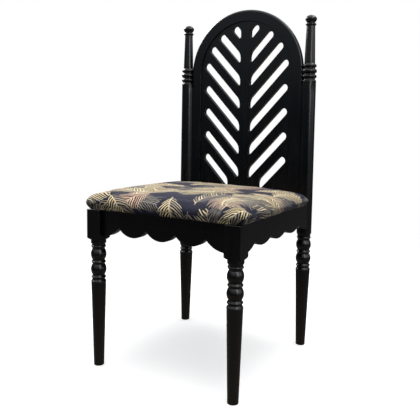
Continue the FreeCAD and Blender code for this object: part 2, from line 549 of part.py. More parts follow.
def add_back_panel():
    body = new_body("back_panel")
    mid = q("tongue_x")
    t = q("panel_t")
    w = q("arch_r")
    loop = [(Q.of(0), q("panel_bot")), (2 * mid, q("panel_bot")), (2 * mid, q("tongue_top")),
            (mid + w, q("tongue_top")), (mid + w, q("arch_z")),
            (mid, q("arch_z") + w, w, 1), (mid - w, q("arch_z"), w, 1),
            (mid - w, q("tongue_top")), (Q.of(0), q("tongue_top"))]
    sk = outline(body, "PanelOutline", "XZ_Plane", [loop])
    pad(body, "PanelBoard", sk, t, True)
    doc.recompute()
    # the arch is rounded well over, and its short straight sides with it
    rim = lambda e: len(e.Vertexes) == 2 and (
        isinstance(e.Curve, Part.Circle) and abs(e.Curve.Radius - D["arch_r"]) < 0.01
        or isinstance(e.Curve, Part.Line) and all(abs(abs(p.x - D["tongue_x"]) - D["arch_r"]) < 1e-4 for p in ends(e))
        and abs(ends(e)[0].z - ends(e)[1].z) > 10 and abs(abs(ends(e)[0].y) - D["panel_t"] / 2) < 1e-4)
    if soften(body, "ArchRound", D["arch_round"], rim) is None:
        soften(body, "ArchRound", D["arch_round"],
               lambda e: isinstance(e.Curve, Part.Circle) and abs(e.Curve.Radius - D["arch_r"]) < 0.01)
    # sunk field inside the raised border
    fw = q("field_r")
    fld = outline(body, "FieldOutline", "XZ_Plane",
                  [[(mid - fw, q("field_bot")), (mid + fw, q("field_bot")), (mid + fw, q("arch_z")),
                    (mid, q("arch_z") + fw, fw, 1), (mid - fw, q("arch_z"), fw, 1)]],
                  FreeCAD.Placement(V(0, 0, D["panel_t"] / 2), ROT()))
    fld.setExpression("AttachmentOffset.Base.z", "Dims.panel_t / 2")
    before = body.Tip.Shape.Volume
    pk = body.newObject("PartDesign::Pocket", "SunkField")
    pk.Profile = fld
    pk.Length = D["field_depth"]
    pk.setExpression("Length", "Dims.field_depth")
    doc.recompute()
    if not (0.7 * before < pk.Shape.Volume < before - 100000):
        raise SystemExit("sunk field is wrong: %.0f of %.0f" % (pk.Shape.Volume, before))
    loops = []
    for i, (cx, cz, short) in enumerate(SLOTS):
        for s in (1, -1):
            loops.append(slot_loop(cx, cz, short, s, mid, "slot_w" if i else "drop_w"))
    sl = outline(body, "Piercing", "XZ_Plane", loops)
    before = body.Tip.Shape.Volume
    pc = body.newObject("PartDesign::Pocket", "Openings")
    pc.Profile = sl
    pc.Type = 1
    pc.Midplane = True
    doc.recompute()
    if pc.Shape.Volume >= before - 1000 or not pc.Shape.isValid():
        raise SystemExit("openings are wrong")

    def corner(e, acute, drop):
        if len(e.Vertexes) != 2 or not isinstance(e.Curve, Part.Line):
            return False
        a, b = ends(e)
        if abs(a.x - b.x) > 1e-6 or abs(a.z - b.z) > 1e-6:
            return False
        dx = abs(a.x - D["tongue_x"])
        if not (abs(dx - D["spine_x"]) < 1e-4 or abs(dx - D["spine_x8"]) < 1e-4):
            return False
        # the acute corner is the lower one of its opening
        for i, (cx, cz, short) in enumerate(SLOTS):
            if drop != (i == 0):
                continue
            r = D["slot_w" if i else "drop_w"] / 2
            cut = D["spine_x8"] if short else D["spine_x"]
            if abs(dx - cut) > 1e-4:
                continue
            zl = cz - r * D["slot_cos"] - (cx + r * D["slot_sin"] - cut) * D["slot_tan"]
            zu = cz + r * D["slot_cos"] - (cx - r * D["slot_sin"] - cut) * D["slot_tan"]
            if abs(a.z - (zl if acute else zu)) < 1e-3:
                return True
        return False

    soften(body, "AcuteCorners", 5.4, lambda e: corner(e, True, False))
    soften(body, "ObtuseCorners", 34.0, lambda e: corner(e, False, False))
    soften(body, "DropTips", 5.8, lambda e: corner(e, True, True))
    soften(body, "DropShoulders", 17.0, lambda e: corner(e, False, True))
    front = -(D["panel_t"] / 2 - D["field_depth"])
    soften(body, "SlotArris", 0.8,
           lambda e: all(abs(p.y - front) < 1e-4 for p in ends(e)) and len(e.Vertexes) == 2
           and all(abs(p.x - D["tongue_x"]) < D["field_r"] - 4 for p in ends(e))
           and all(p.z > D["field_bot"] + 2 for p in ends(e))
           and not (isinstance(e.Curve, Part.Circle) and abs(e.Curve.Radius - D["field_r"]) < 0.01))
    soften(body, "BorderArris", 1.0,
           lambda e: len(e.Vertexes) == 2 and all(abs(p.y + D["panel_t"] / 2) < 1e-4 for p in ends(e))
           and all(abs(p.x - D["tongue_x"]) < D["field_r"] + 0.01 for p in ends(e))
           and (isinstance(e.Curve, Part.Circle) and abs(e.Curve.Radius - D["field_r"]) < 0.01
                or all(p.z < D["arch_z"] + 0.01 for p in ends(e))))
    for i, zc in enumerate(PANEL_DOWEL_Z):
        bore(body, "EdgeBoreL%d" % i, q("dowel_d"), Q.of(20.5), Q.of(0), Q.of(0), Q.of(zc), V(1, 0, 0))
        bore(body, "EdgeBoreR%d" % i, q("dowel_d"), Q.of(20.5), 2 * mid, Q.of(0), Q.of(zc), V(-1, 0, 0))
    for i, s in enumerate((-1, 1)):
        bore(body, "FootBore%d" % i, q("dowel_d"), q("dowel_in") + 1.5, mid + s * 92.0, Q.of(0), q("panel_bot"), V(0, 0, 1))
    place_expr(body, -mid, q("rear_y") + q("panel_off"), Q.of(0))
    return body


add_back_panel()


# ---------------------------------------------------------------- corner braces
def add_brace(name, sx, sy):
    """Diagonal brace; sy is -1 at the front corners and +1 at the rear ones."""
    body = new_body(name)
    n, fa = q("brace_near"), q("brace_far")
    pts = [(n, Q.of(0)), (fa, Q.of(0)), (Q.of(0), fa), (Q.of(0), n)]
    # mirrored into its own quadrant: the chair's corner is the local origin
    loop = [(-sx * a, -sy * b) for a, b in pts]
    if (-sx) * (-sy) < 0:
        loop = loop[::-1]
    sk = outline(body, "BraceOutline_" + name, "XY_Plane", [loop])
    pad(body, "Brace_" + name, sk, q("brace_top") - q("brace_bot"))
    doc.recompute()
    zc = q("brace_screw_z") - q("brace_bot")
    # clearance holes for the two apron screws, each with a flat-bottomed counterbore
    c = Q.of(64.0)
    bore(body, "ClearY_" + name, q("screw_d") + 0.5, Q.of(40.0), -sx * c, Q.of(0), zc, V(0, -sy, 0))
    bore(body, "SinkY_" + name, Q.of(9.0), Q.of(30.0), -sx * c, -sy * Q.of(15.0), zc, V(0, -sy, 0))
    bore(body, "ClearX_" + name, q("screw_d") + 0.5, Q.of(40.0), Q.of(0), -sy * c, zc, V(-sx, 0, 0))
    bore(body, "SinkX_" + name, Q.of(9.0), Q.of(30.0), -sx * Q.of(15.0), -sy * c, zc, V(-sx, 0, 0))
    m = (n + fa) / 4
    bore(body, "SeatBore_" + name, q("seat_screw_d") + 0.5, Q.of(40.0), -sx * m, -sy * m, Q.of(-5.0), V(0, 0, 1))
    x = sx * (q("leg_x") + q("apron_side_off") - q("apron_t"))
    y = (q("front_y") + q("apron_front_off")) if sy < 0 else (q("rear_y") - q("apron_t") / 2)
    place_expr(body, x, y, q("brace_bot"))
    return body


for nm, bx, by in (("corner_brace_front_left", -1, -1), ("corner_brace_front_right", 1, -1),
                   ("corner_brace_rear_left", -1, 1), ("corner_brace_rear_right", 1, 1)):
    add_brace(nm, bx, by)


# ---------------------------------------------------------------- loose seat
def pad_loop(inset):
    """Plan of the seat, drawn in from its outline by inset: rounded corners, and a shallow
    tongue at the back that passes between the posts."""
    i = Q.of(inset)
    hx, yf, yr = q("pad_x") - i, q("pad_front") + i, q("pad_rear") - i
    tx, ty = q("pad_tongue_x") - i, q("pad_tongue_y") - i
    rf, rr = q("pad_corner_f") - i, q("pad_corner_r") - i
    rt, rn = (7.0 - i, 6.0 + i) if i.num < 4 else (Q.of(3.0), Q.of(6.0))
    return [(hx - rf, yf), (hx, yf + rf, rf, 1),
            (hx, yr - rr), (hx - rr, yr, rr, 1),
            (tx + rn, yr), (tx, yr + rn, rn, -1),
            (tx, ty - rt), (tx - rt, ty, rt, 1),
            (-tx + rt, ty), (-tx, ty - rt, rt, 1),
            (-tx, yr + rn), (-tx - rn, yr, rn, -1),
            (-hx + rr, yr), (-hx, yr - rr, rr, 1),
            (-hx, yf + rf), (-hx + rf, yf, rf, 1)]


def add_slab(name, inset, z0, z1, round_r=None, under_r=None):
    body = new_body(name)
    if round_r is None:
        sk = outline(body, "Plan_" + name, "XY_Plane", [pad_loop(inset)])
        pad(body, "Slab_" + name, sk, z1 - z0)
    else:
        # a softly rounded block, then trimmed to the plan at its rear corners
        i = Q.of(inset)
        hx, yf, yt, r = q("pad_x") - i, q("pad_front") + i, q("pad_tongue_y") - i, q("pad_corner_f") - i
        sk = outline(body, "Block_" + name, "XY_Plane",
                     [[(hx - r, yf), (hx, yf + r, r, 1), (hx, yt - r), (hx - r, yt, r, 1),
                       (-hx + r, yt), (-hx, yt - r, r, 1), (-hx, yf + r), (-hx + r, yf, r, 1)]])
        pad(body, "Slab_" + name, sk, z1 - z0)
        top = (z1 - z0).num
        if soften(body, "Round_" + name, round_r,
                  lambda e: all(abs(p.z - top) < 1e-4 for p in ends(e))) is None:
            raise SystemExit("seat rounding failed " + name)
        if soften(body, "Under_" + name, under_r,
                  lambda e: all(abs(p.z) < 1e-4 for p in ends(e))) is None:
            raise SystemExit("seat under rounding failed " + name)
        big = Q.of(290.0)
        before = body.Tip.Shape.Volume
        ts = outline(body, "Trim_" + name, "XY_Plane",
                     [[(big, -big), (big, big), (-big, big), (-big, -big)], pad_loop(inset)])
        pk = body.newObject("PartDesign::Pocket", "TrimCut_" + name)
        pk.Profile = ts
        pk.Type = 1
        pk.Midplane = True
        doc.recompute()
        if not (0.9 * before < pk.Shape.Volume < before - 100):
            raise SystemExit("seat trim is wrong " + name)
    place_expr(body, Q.of(0), Q.of(0), z0)
    doc.recompute()
    return body


BRACE_M = (Q.of(0) + q("brace_near") + q("brace_far")) / 4
SEAT_SCREWS = []
for bx in (-1, 1):
    for by in (-1, 1):
        sx_ = bx * (q("leg_x") + q("apron_side_off") - q("apron_t") - BRACE_M)
        sy_ = (q("front_y") + q("apron_front_off") + BRACE_M) if by < 0 else (q("rear_y") - q("apron_t") / 2 - BRACE_M)
        SEAT_SCREWS.append((sx_, sy_))

board = add_slab("seat_board", q("board_in"), q("rail_top") + q("cover_t"), q("rail_top") + q("cover_t") + q("board_t"))
for i, (x, y) in enumerate(SEAT_SCREWS):
    bore(board, "SeatPilot%d" % i, q("seat_screw_d"), Q.of(9.5), x, y, Q.of(0), V(0, 0, 1))
# the foam lies on the board and wraps its edges
block = add_slab("foam_block", q("cover_t"), q("rail_top") + q("cover_t"), q("pad_top") - q("cover_t"),
                 D["pad_round"] - D["cover_t"], D["pad_under"] - D["cover_t"])
room = add_slab("board_room", q("board_in"), q("rail_top") + q("cover_t") - 1.0,
                q("rail_top") + q("cover_t") + q("board_t"))
foam = doc.addObject("Part::Cut", "FoamCap")
foam.Base = block
foam.Tool = room
foam.Label = "seat_foam"
cover = add_slab("seat_cover", Q.of(0), q("rail_top"), q("pad_top"), D["pad_round"], D["pad_under"])
doc.recompute()

# the cover is hollow: it holds the foam and the board, and turns in under the board
w = q("wrap_in")
win = doc.addObject("Part::Box", "WrapWindow")
win.setExpression("Length", "2 * (Dims.pad_x - Dims.wrap_in)")
win.setExpression("Width", "Dims.pad_rear - Dims.pad_front - 2 * Dims.wrap_in")
win.Height = 6.0
win.Placement = FreeCAD.Placement(V(-(D["pad_x"] - D["wrap_in"]), D["pad_front"] + D["wrap_in"], D["rail_top"] - 3.0), ROT())
win.setExpression("Placement.Base.x", "-1 * (Dims.pad_x - Dims.wrap_in)")
win.setExpression("Placement.Base.y", "Dims.pad_front + Dims.wrap_in")
win.setExpression("Placement.Base.z", "Dims.rail_top - 3")
clear = []
for i, (x, y) in enumerate(SEAT_SCREWS):
    c = doc.addObject("Part::Cylinder", "ScrewClearance%d" % i)
    c.setExpression("Radius", "(Dims.seat_screw_d + 1) / 2")
    c.Height = 13.0
    place_expr(c, x, y, q("rail_top") - 1.0)
    clear.append(c)
fill = doc.addObject("Part::MultiFuse", "PadFilling")
fill.Shapes = [block, win] + clear
doc.recompute()
shell = doc.addObject("Part::Cut", "CoverShell")
shell.Base = cover
shell.Tool = fill
doc.recompute()
cover.Label = "cover_blank"
shell.Label = "seat_cover"

dust = new_body("dust_cover")
r = Q.of(12.0)
dx, y0, y1 = q("dust_x"), q("dust_front"), q("dust_rear")
dsk = outline(dust, "DustPlan", "XY_Plane",
              [[(dx - r, y0), (dx, y0 + r, r, 1), (dx, y1 - r), (dx - r, y1, r, 1),
                (-dx + r, y1), (-dx, y1 - r, r, 1), (-dx, y0 + r), (-dx + r, y0, r, 1)]])
pad(dust, "DustSheet", dsk, q("dust_t"))
doc.recompute()
for i, (x, y) in enumerate(SEAT_SCREWS):
    bore(dust, "ScrewHole%d" % i, q("seat_screw_d") + 1.0, Q.of(4.0), x, y, Q.of(-1.0), V(0, 0, 1))
place_expr(dust, Q.of(0), Q.of(0), q("rail_top") - q("dust_t"))


# ---------------------------------------------------------------- dowels, screws and staples
def dowel_group(name, specs):
    """specs: (x, y, z, axis, length) of each dowel's start."""
    objs = []
    for i, (x, y, z, axis, length) in enumerate(specs):
        c = doc.addObject("Part::Cylinder", "%s_%d" % (name, i))
        c.Radius = D["dowel_d"] / 2
        c.setExpression("Radius", "Dims.dowel_d / 2")
        c.Height = Q.of(length).num
        if "Dims" in Q.of(length).expr:
            c.setExpression("Height", Q.of(length).expr)
        c.Placement = FreeCAD.Placement(V(0, 0, 0), ROT(ZA, axis))
        place_expr(c, x, y, z)
        objs.append(c)
    comp = doc.addObject("Part::Compound", name)
    comp.Links = objs
    comp.Label = name
    doc.recompute()
    return comp


lx, bw2, din = q("leg_x"), q("block_w") / 2, q("dowel_in")
sxo = q("leg_x") + q("apron_side_off") - q("apron_t") / 2
specs = []
for zc in ("dowel_z1", "dowel_z2"):
    specs.append((-lx + bw2 - din, q("front_y"), q(zc), V(1, 0, 0), 2 * din))
    specs.append((lx - bw2 + din, q("front_y"), q(zc), V(-1, 0, 0), 2 * din))
    specs.append((-lx + q("post_d") / 2 - din, q("rear_y"), q(zc), V(1, 0, 0), 2 * din))
    specs.append((lx - q("post_d") / 2 + din, q("rear_y"), q(zc), V(-1, 0, 0), 2 * din))
    for s in (-1, 1):
        specs.append((s * sxo, q("front_y") + bw2 - din, q(zc), V(0, 1, 0), 2 * din))
        specs.append((s * sxo, q("rear_y") - 5.5, q(zc), V(0, -1, 0), 2 * din))
dowel_group("apron_dowels", specs)

specs = []
for zc in PANEL_DOWEL_Z:
    for s in (-1, 1):
        specs.append((s * (q("tongue_x") - 20.0), q("rear_y") + q("panel_off"), Q.of(zc), V(s, 0, 0), Q.of(39.0)))
for s in (-1, 1):
    specs.append((Q.of(s * 92.0), q("rear_y") + q("panel_off"), q("panel_bot") - din, V(0, 0, 1), 2 * din))
dowel_group("panel_dowels", specs)


def wood_screw(dia, head_d, head_h, length, tip=4.0):
    """Pan-head screw along +Z with its head's underside at z = 0, with a cross recess."""
    r = dia / 2
    prof = [V(0, 0, -head_h), V(head_d * 0.32, 0, -head_h), V(head_d / 2, 0, -head_h * 0.35), V(head_d / 2, 0, 0),
            V(r, 0, 0), V(r, 0, length - tip), V(0.3, 0, length), V(0, 0, length)]
    face = Part.Face(Part.makePolygon(prof + [prof[0]]))
    body = face.revolve(V(0, 0, 0), ZA, 360)
    a = Part.makeBox(head_d * 0.5, head_d * 0.1, head_h * 0.55, V(-head_d * 0.25, -head_d * 0.05, -head_h - 0.01))
    b = Part.makeBox(head_d * 0.1, head_d * 0.5, head_h * 0.55, V(-head_d * 0.05, -head_d * 0.25, -head_h - 0.01))
    return body.cut(a.fuse(b))


def screw_group(name, screw, places):
    shapes = []
    for pos, axis in places:
        s = screw.copy()
        s.Placement = FreeCAD.Placement(pos, ROT(ZA, axis))
        shapes.append(s)
    f = doc.addObject("Part::Feature", name)
    f.Shape = Part.makeCompound(shapes)
    f.Label = name
    return f


places = []
cx = D["leg_x"] + D["apron_side_off"] - D["apron_t"]
for sx in (-1, 1):
    for sy in (-1, 1):
        cy = D["front_y"] + D["apron_front_off"] if sy < 0 else D["rear_y"] - D["apron_t"] / 2
        places.append((V(sx * (cx - 64.0), cy - sy * 15.0, D["brace_screw_z"]), V(0, sy, 0)))
        places.append((V(sx * (cx - 15.0), cy - sy * 64.0, D["brace_screw_z"]), V(sx, 0, 0)))
screw_group("brace_screws", wood_screw(D["screw_d"], 8.0, 2.6, 27.0), places)
screw_group("seat_screws", wood_screw(D["seat_screw_d"], 10.0, 3.2, D["rail_top"] + D["cover_t"] + 9.5 - D["brace_bot"]),
            [(V(x.num, y.num, D["brace_bot"]), V(0, 0, 1)) for x, y in SEAT_SCREWS])

# staple crowns that hold the dust cover, 10 mm long, along its four sides
crown = Part.makeBox(10.0, 1.1, 0.5, V(-5.0, -0.55, -0.5))
shapes = []
zs = D["rail_top"] - D["dust_t"]
inset = 6.0
n_x, n_y = 9, 9
for i in range(n_x):
    x = -D["dust_x"] + 28.0 + i * (2 * D["dust_x"] - 56.0) / (n_x - 1)
    for y in (D["dust_front"] + inset, D["dust_rear"] - inset):
        s = crown.copy()
        s.Placement = FreeCAD.Placement(V(x, y, zs), ROT(ZA, 0))
        shapes.append(s)
for i in range(n_y):
    y = D["dust_front"] + 28.0 + i * (D["dust_rear"] - D["dust_front"] - 56.0) / (n_y - 1)
    for x in (-D["dust_x"] + inset, D["dust_x"] - inset):
        s = crown.copy()
        s.Placement = FreeCAD.Placement(V(x, y, zs), ROT(ZA, 90))
        shapes.append(s)
st = doc.addObject("Part::Feature", "cover_staples")
st.Shape = Part.makeCompound(shapes)
st.Label = "cover_staples"

doc.recompute()

# ---------------------------------------------------------------- checks and export
bad = [(o.Name, o.State) for o in doc.Objects if "Invalid" in o.State or "Error" in o.State]
if bad:
    raise SystemExit("failed objects: %s" % bad)

NODES = ["front_leg_left", "front_leg_right", "rear_post_left", "rear_post_right",
         "front_apron", "rear_apron", "side_apron_left", "side_apron_right", "back_panel",
         "corner_brace_front_left", "corner_brace_front_right", "corner_brace_rear_left", "corner_brace_rear_right",
         "apron_dowels", "panel_dowels", "brace_screws", "seat_screws",
         "seat_board", "seat_foam", "seat_cover", "dust_cover", "cover_staples"]
by_label = {o.Label: o for o in doc.Objects}
os.makedirs("parts", exist_ok=True)
box = FreeCAD.BoundBox()
for node in NODES:
    shape = by_label[node].Shape
    if shape.isNull() or not shape.isValid() or shape.Volume <= 0:
        raise SystemExit("bad shape: " + node)
    sb = shape.optimalBoundingBox(True, False)
    print("%-26s solids %2d  volume %9.0f  box %s" % (
        node, len(shape.Solids), shape.Volume,
        " ".join("%.1f" % x for x in (sb.XMin, sb.YMin, sb.ZMin, sb.XMax, sb.YMax, sb.ZMax))))
    box.add(sb)
    shape.exportStep("parts/%s.step" % node)
print("whole box", box)
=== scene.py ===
import bpy
import bmesh
import math
import numpy as np
from mathutils import Matrix, Vector


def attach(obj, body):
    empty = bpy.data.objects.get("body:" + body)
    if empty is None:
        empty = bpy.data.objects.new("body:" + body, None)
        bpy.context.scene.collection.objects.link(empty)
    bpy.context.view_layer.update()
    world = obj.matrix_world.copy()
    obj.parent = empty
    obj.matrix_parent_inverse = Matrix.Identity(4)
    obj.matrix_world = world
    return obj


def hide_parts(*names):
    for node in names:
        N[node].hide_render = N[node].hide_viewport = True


# Painted side chair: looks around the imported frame. Metres, +Z up, the chair faces -Y.

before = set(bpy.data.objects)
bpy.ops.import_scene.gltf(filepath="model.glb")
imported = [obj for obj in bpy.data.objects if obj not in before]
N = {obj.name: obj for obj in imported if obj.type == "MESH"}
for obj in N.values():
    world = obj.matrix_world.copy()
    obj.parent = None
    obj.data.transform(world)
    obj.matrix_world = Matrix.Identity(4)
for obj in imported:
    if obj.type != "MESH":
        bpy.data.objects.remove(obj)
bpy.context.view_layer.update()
scene = bpy.context.scene


# ------------------------------------------------------------------ camera
def make_camera():
    yaw, pitch, roll = (math.radians(v) for v in (30.137, 5.973, 0.957))
    fwd = Vector((-math.sin(yaw) * math.cos(pitch), math.cos(yaw) * math.cos(pitch), -math.sin(pitch)))
    right = Vector((math.cos(yaw), math.sin(yaw), 0.0))
    up = right.cross(fwd)
    r2 = right * math.cos(roll) + up * math.sin(roll)
    u2 = up * math.cos(roll) - right * math.sin(roll)
    cam = bpy.data.cameras.new("Camera")
    cam.sensor_width = 36.0
    cam.lens = 559.333 * 36.0 / 420.0
    cam.shift_y = -23.0 / 420.0
    cam.clip_start, cam.clip_end = 0.05, 60.0
    o = bpy.data.objects.new("Camera", cam)
    scene.collection.objects.link(o)
    o.matrix_world = Matrix(((r2.x, u2.x, -fwd.x, 0.8073),
                             (r2.y, u2.y, -fwd.y, -1.3709),
                             (r2.z, u2.z, -fwd.z, 0.6619),
                             (0, 0, 0, 1)))
    scene.camera = o


make_camera()

scene.view_settings.view_transform = "Standard"
scene.view_settings.look = "None"
scene.view_settings.exposure = 0.0
scene.view_settings.gamma = 1.0


# ------------------------------------------------------------------ node helpers
class Nodes:
    """Short ways to write a node tree."""

    def __init__(self, tree):
        self.t = tree

    def new(self, kind, **props):
        n = self.t.nodes.new(kind)
        for k, v in props.items():
            setattr(n, k, v)
        return n

    def put(self, socket, v):
        if v is None:
            return
        if isinstance(v, bpy.types.NodeSocket):
            self.t.links.new(v, socket)
        else:
            socket.default_value = v

    def math(self, op, a, b=None, c=None, clamp=False):
        n = self.new("ShaderNodeMath", operation=op, use_clamp=clamp)
        self.put(n.inputs[0], a)
        if b is not None:
            self.put(n.inputs[1], b)
        if c is not None:
            self.put(n.inputs[2], c)
        return n.outputs[0]

    def vmath(self, op, a, b=None, scale=None):
        n = self.new("ShaderNodeVectorMath", operation=op)
        self.put(n.inputs[0], a)
        if b is not None:
            self.put(n.inputs[1], b)
        if scale is not None:
            self.put(n.inputs["Scale"], scale)
        return n.outputs["Value"] if op in ("DOT_PRODUCT", "LENGTH", "DISTANCE") else n.outputs["Vector"]

    def sep(self, v):
        n = self.new("ShaderNodeSeparateXYZ")
        self.put(n.inputs[0], v)
        return n.outputs[0], n.outputs[1], n.outputs[2]

    def comb(self, x=0.0, y=0.0, z=0.0):
        n = self.new("ShaderNodeCombineXYZ")
        for i, v in enumerate((x, y, z)):
            self.put(n.inputs[i], v)
        return n.outputs[0]

    def mix(self, f, a, b, mode="MIX"):
        n = self.new("ShaderNodeMix", data_type="RGBA", blend_type=mode)
        self.put(n.inputs[0], f)
        self.put(n.inputs[6], a)
        self.put(n.inputs[7], b)
        return n.outputs[2]

    def mixf(self, f, a, b):
        n = self.new("ShaderNodeMix", data_type="FLOAT")
        self.put(n.inputs[0], f)
        self.put(n.inputs[2], a)
        self.put(n.inputs[3], b)
        return n.outputs[0]

    def ramp(self, f, stops, mode="LINEAR"):
        n = self.new("ShaderNodeValToRGB")
        n.color_ramp.interpolation = mode
        el = n.color_ramp.elements
        while len(el) < len(stops):
            el.new(0.5)
        for e, (p, c) in zip(el, stops):
            e.position = p
            e.color = (c, c, c, 1.0) if isinstance(c, (int, float)) else tuple(c) + (1.0,)
        self.put(n.inputs[0], f)
        return n.outputs[0]

    def noise(self, vec, scale, detail=2.0, rough=0.5, dist=0.0, dim="3D", color=False):
        n = self.new("ShaderNodeTexNoise", noise_dimensions=dim)
        self.put(n.inputs["Vector"], vec)
        n.inputs["Scale"].default_value = scale
        n.inputs["Detail"].default_value = detail
        n.inputs["Roughness"].default_value = rough
        n.inputs["Distortion"].default_value = dist
        return n.outputs["Color"] if color else n.outputs["Fac"]

    def curve(self, f, pts):
        n = self.new("ShaderNodeFloatCurve")
        c = n.mapping.curves[0]
        while len(c.points) < len(pts):
            c.points.new(0.5, 0.5)
        for p, (x, y) in zip(c.points, pts):
            p.location = (x, y)
        n.mapping.update()
        n.inputs["Factor"].default_value = 1.0
        self.put(n.inputs["Value"], f)
        return n.outputs[0]

    def step(self, v, lo, hi):
        """0 below lo and 1 above hi, smooth between."""
        n = self.new("ShaderNodeMapRange", interpolation_type="SMOOTHSTEP", clamp=True)
        self.put(n.inputs["Value"], v)
        n.inputs["From Min"].default_value = lo
        n.inputs["From Max"].default_value = hi
        n.inputs["To Min"].default_value = 0.0
        n.inputs["To Max"].default_value = 1.0
        return n.outputs["Result"]

    def range(self, v, lo, hi, a, b):
        n = self.new("ShaderNodeMapRange", clamp=True)
        self.put(n.inputs["Value"], v)
        for k, x in (("From Min", lo), ("From Max", hi), ("To Min", a), ("To Max", b)):
            n.inputs[k].default_value = x
        return n.outputs["Result"]

    def bump(self, height, strength, distance, normal=None):
        n = self.new("ShaderNodeBump")
        n.inputs["Strength"].default_value = strength
        n.inputs["Distance"].default_value = distance
        self.put(n.inputs["Height"], height)
        if normal is not None:
            self.put(n.inputs["Normal"], normal)
        return n.outputs[0]


def material(name):
    m = bpy.data.materials.new(name)
    m.use_nodes = True
    m.node_tree.nodes.clear()
    t = Nodes(m.node_tree)
    out = t.new("ShaderNodeOutputMaterial")
    p = t.new("ShaderNodeBsdfPrincipled")
    m.node_tree.links.new(p.outputs[0], out.inputs[0])
    return m, t, p


def object_coords(t):
    return t.new("ShaderNodeTexCoord").outputs["Object"]


# ------------------------------------------------------------------ black paint
def paint(name, axis, turned=False):
    """Satin black paint over wood. The grain that telegraphs through runs along the axis."""
    m, t, p = material(name)
    co = object_coords(t)
    stretch = [11.0, 11.0, 11.0]
    stretch[axis] = 0.7
    mp = t.new("ShaderNodeMapping")
    t.put(mp.inputs["Vector"], co)
    mp.inputs["Scale"].default_value = stretch
    grain = t.noise(mp.outputs[0], 9.0, 5.0, 0.62, 0.35)
    pores = t.noise(mp.outputs[0], 42.0, 3.0, 0.6)
    cloud = t.noise(co, 7.5, 4.0, 0.55, 0.4)
    peel = t.noise(co, 620.0, 2.0, 0.5)
    x, y, z = t.sep(co)
    # tone: a cool black with browner, thinner patches
    tone = t.mix(t.range(cloud, 0.34, 0.66, 0.0, 1.0), (0.0004, 0.0009, 0.0017, 1), (0.0014, 0.0015, 0.0019, 1))
    tone = t.mix(t.range(pores, 0.56, 0.74, 0.0, 0.55), tone, (0.0005, 0.0006, 0.0008, 1))
    # painted reflection: a warm brown tint over the lower 24 cm of the legs, strongest at the floor and fading upward,
    # standing in for the floor mirrored in the paint; and a few small scuffs
    floor_reflection = t.math("SUBTRACT", 1.0, t.step(z, 0.0, 0.24))
    tone = t.mix(t.math("MULTIPLY", floor_reflection, 0.75), tone, (0.0072, 0.0054, 0.0042, 1))
    scuff_n = t.noise(co, 95.0, 3.0, 0.7, 1.2)
    scuff = t.math("MULTIPLY", t.step(scuff_n, 0.69, 0.76), t.math("SUBTRACT", 1.0, t.step(z, 0.005, 0.11)))
    tone = t.mix(t.math("MULTIPLY", scuff, 0.55), tone, (0.060, 0.043, 0.030, 1))
    # arrises worn a little thin
    bev = t.new("ShaderNodeBevel", samples=4)
    bev.inputs["Radius"].default_value = 0.0022
    geo = t.new("ShaderNodeNewGeometry")
    flat = t.vmath("DOT_PRODUCT", bev.outputs[0], geo.outputs["Normal"])
    edge = t.step(t.math("SUBTRACT", 1.0, flat), 0.02, 0.16)
    rub_n = t.noise(co, 26.0, 4.0, 0.6)
    rub = t.math("MULTIPLY", edge, t.step(rub_n, 0.44, 0.66))
    tone = t.mix(t.math("MULTIPLY", rub, 0.55), tone, (0.034, 0.029, 0.026, 1))
    t.put(p.inputs["Base Color"], tone)
    rough = t.range(cloud, 0.3, 0.7, 0.21, 0.28)
    rough = t.math("ADD", rough, t.range(grain, 0.35, 0.7, -0.03, 0.05))
    rough = t.math("ADD", rough, t.math("MULTIPLY", t.math("ADD", scuff, t.math("MULTIPLY", rub, 0.4)), 0.2), clamp=True)
    t.put(p.inputs["Roughness"], rough)
    p.inputs["Specular IOR Level"].default_value = 0.5
    b = t.bump(grain, 0.10, 0.0003)
    b = t.bump(pores, 0.07, 0.0002, b)
    if turned:
        # faint tool lines round the turning
        lathe = t.noise(t.comb(0.0, 0.0, z), 900.0, 2.0, 0.6)
        b = t.bump(lathe, 0.07, 0.0002, b)
    b = t.bump(peel, 0.08, 0.0001, b)
    t.put(p.inputs["Normal"], b)
    return m


paint_post = paint("paint_turned", 2, True)
paint_x = paint("paint_grain_x", 0)
paint_y = paint("paint_grain_y", 1)
paint_z = paint("paint_grain_z", 2)


# ------------------------------------------------------------------ bare wood, plywood, metal, foam
def wood(name, axis_angle, light=(0.50, 0.335, 0.185), dark=(0.30, 0.175, 0.085), scale=1.0):
    m, t, p = material(name)
    co = object_coords(t)
    mp = t.new("ShaderNodeMapping")
    t.put(mp.inputs["Vector"], co)
    mp.inputs["Rotation"].default_value = (0.0, 0.0, axis_angle)
    mp.inputs["Scale"].default_value = (1.0 * scale, 16.0 * scale, 16.0 * scale)
    warp = t.noise(mp.outputs[0], 3.0, 3.0, 0.5)
    rings = t.new("ShaderNodeTexWave", wave_type="BANDS", bands_direction="Y", wave_profile="SAW")
    t.put(rings.inputs["Vector"], mp.outputs[0])
    rings.inputs["Scale"].default_value = 3.2
    rings.inputs["Distortion"].default_value = 3.5
    rings.inputs["Detail"].default_value = 3.0
    rings.inputs["Detail Scale"].default_value = 0.8
    fibre = t.noise(mp.outputs[0], 60.0, 3.0, 0.65)
    f = t.math("ADD", t.math("MULTIPLY", rings.outputs["Fac"], 0.55), t.math("MULTIPLY", warp, 0.45))
    col = t.mix(t.range(f, 0.25, 0.85, 0.0, 1.0), light + (1,), dark + (1,))
    col = t.mix(t.range(fibre, 0.5, 0.75, 0.0, 0.45), col, tuple(v * 0.6 for v in dark) + (1,))
    t.put(p.inputs["Base Color"], col)
    t.put(p.inputs["Roughness"], t.range(fibre, 0.3, 0.7, 0.55, 0.78))
    b = t.bump(fibre, 0.35, 0.0003)
    t.put(p.inputs["Normal"], b)
    return m


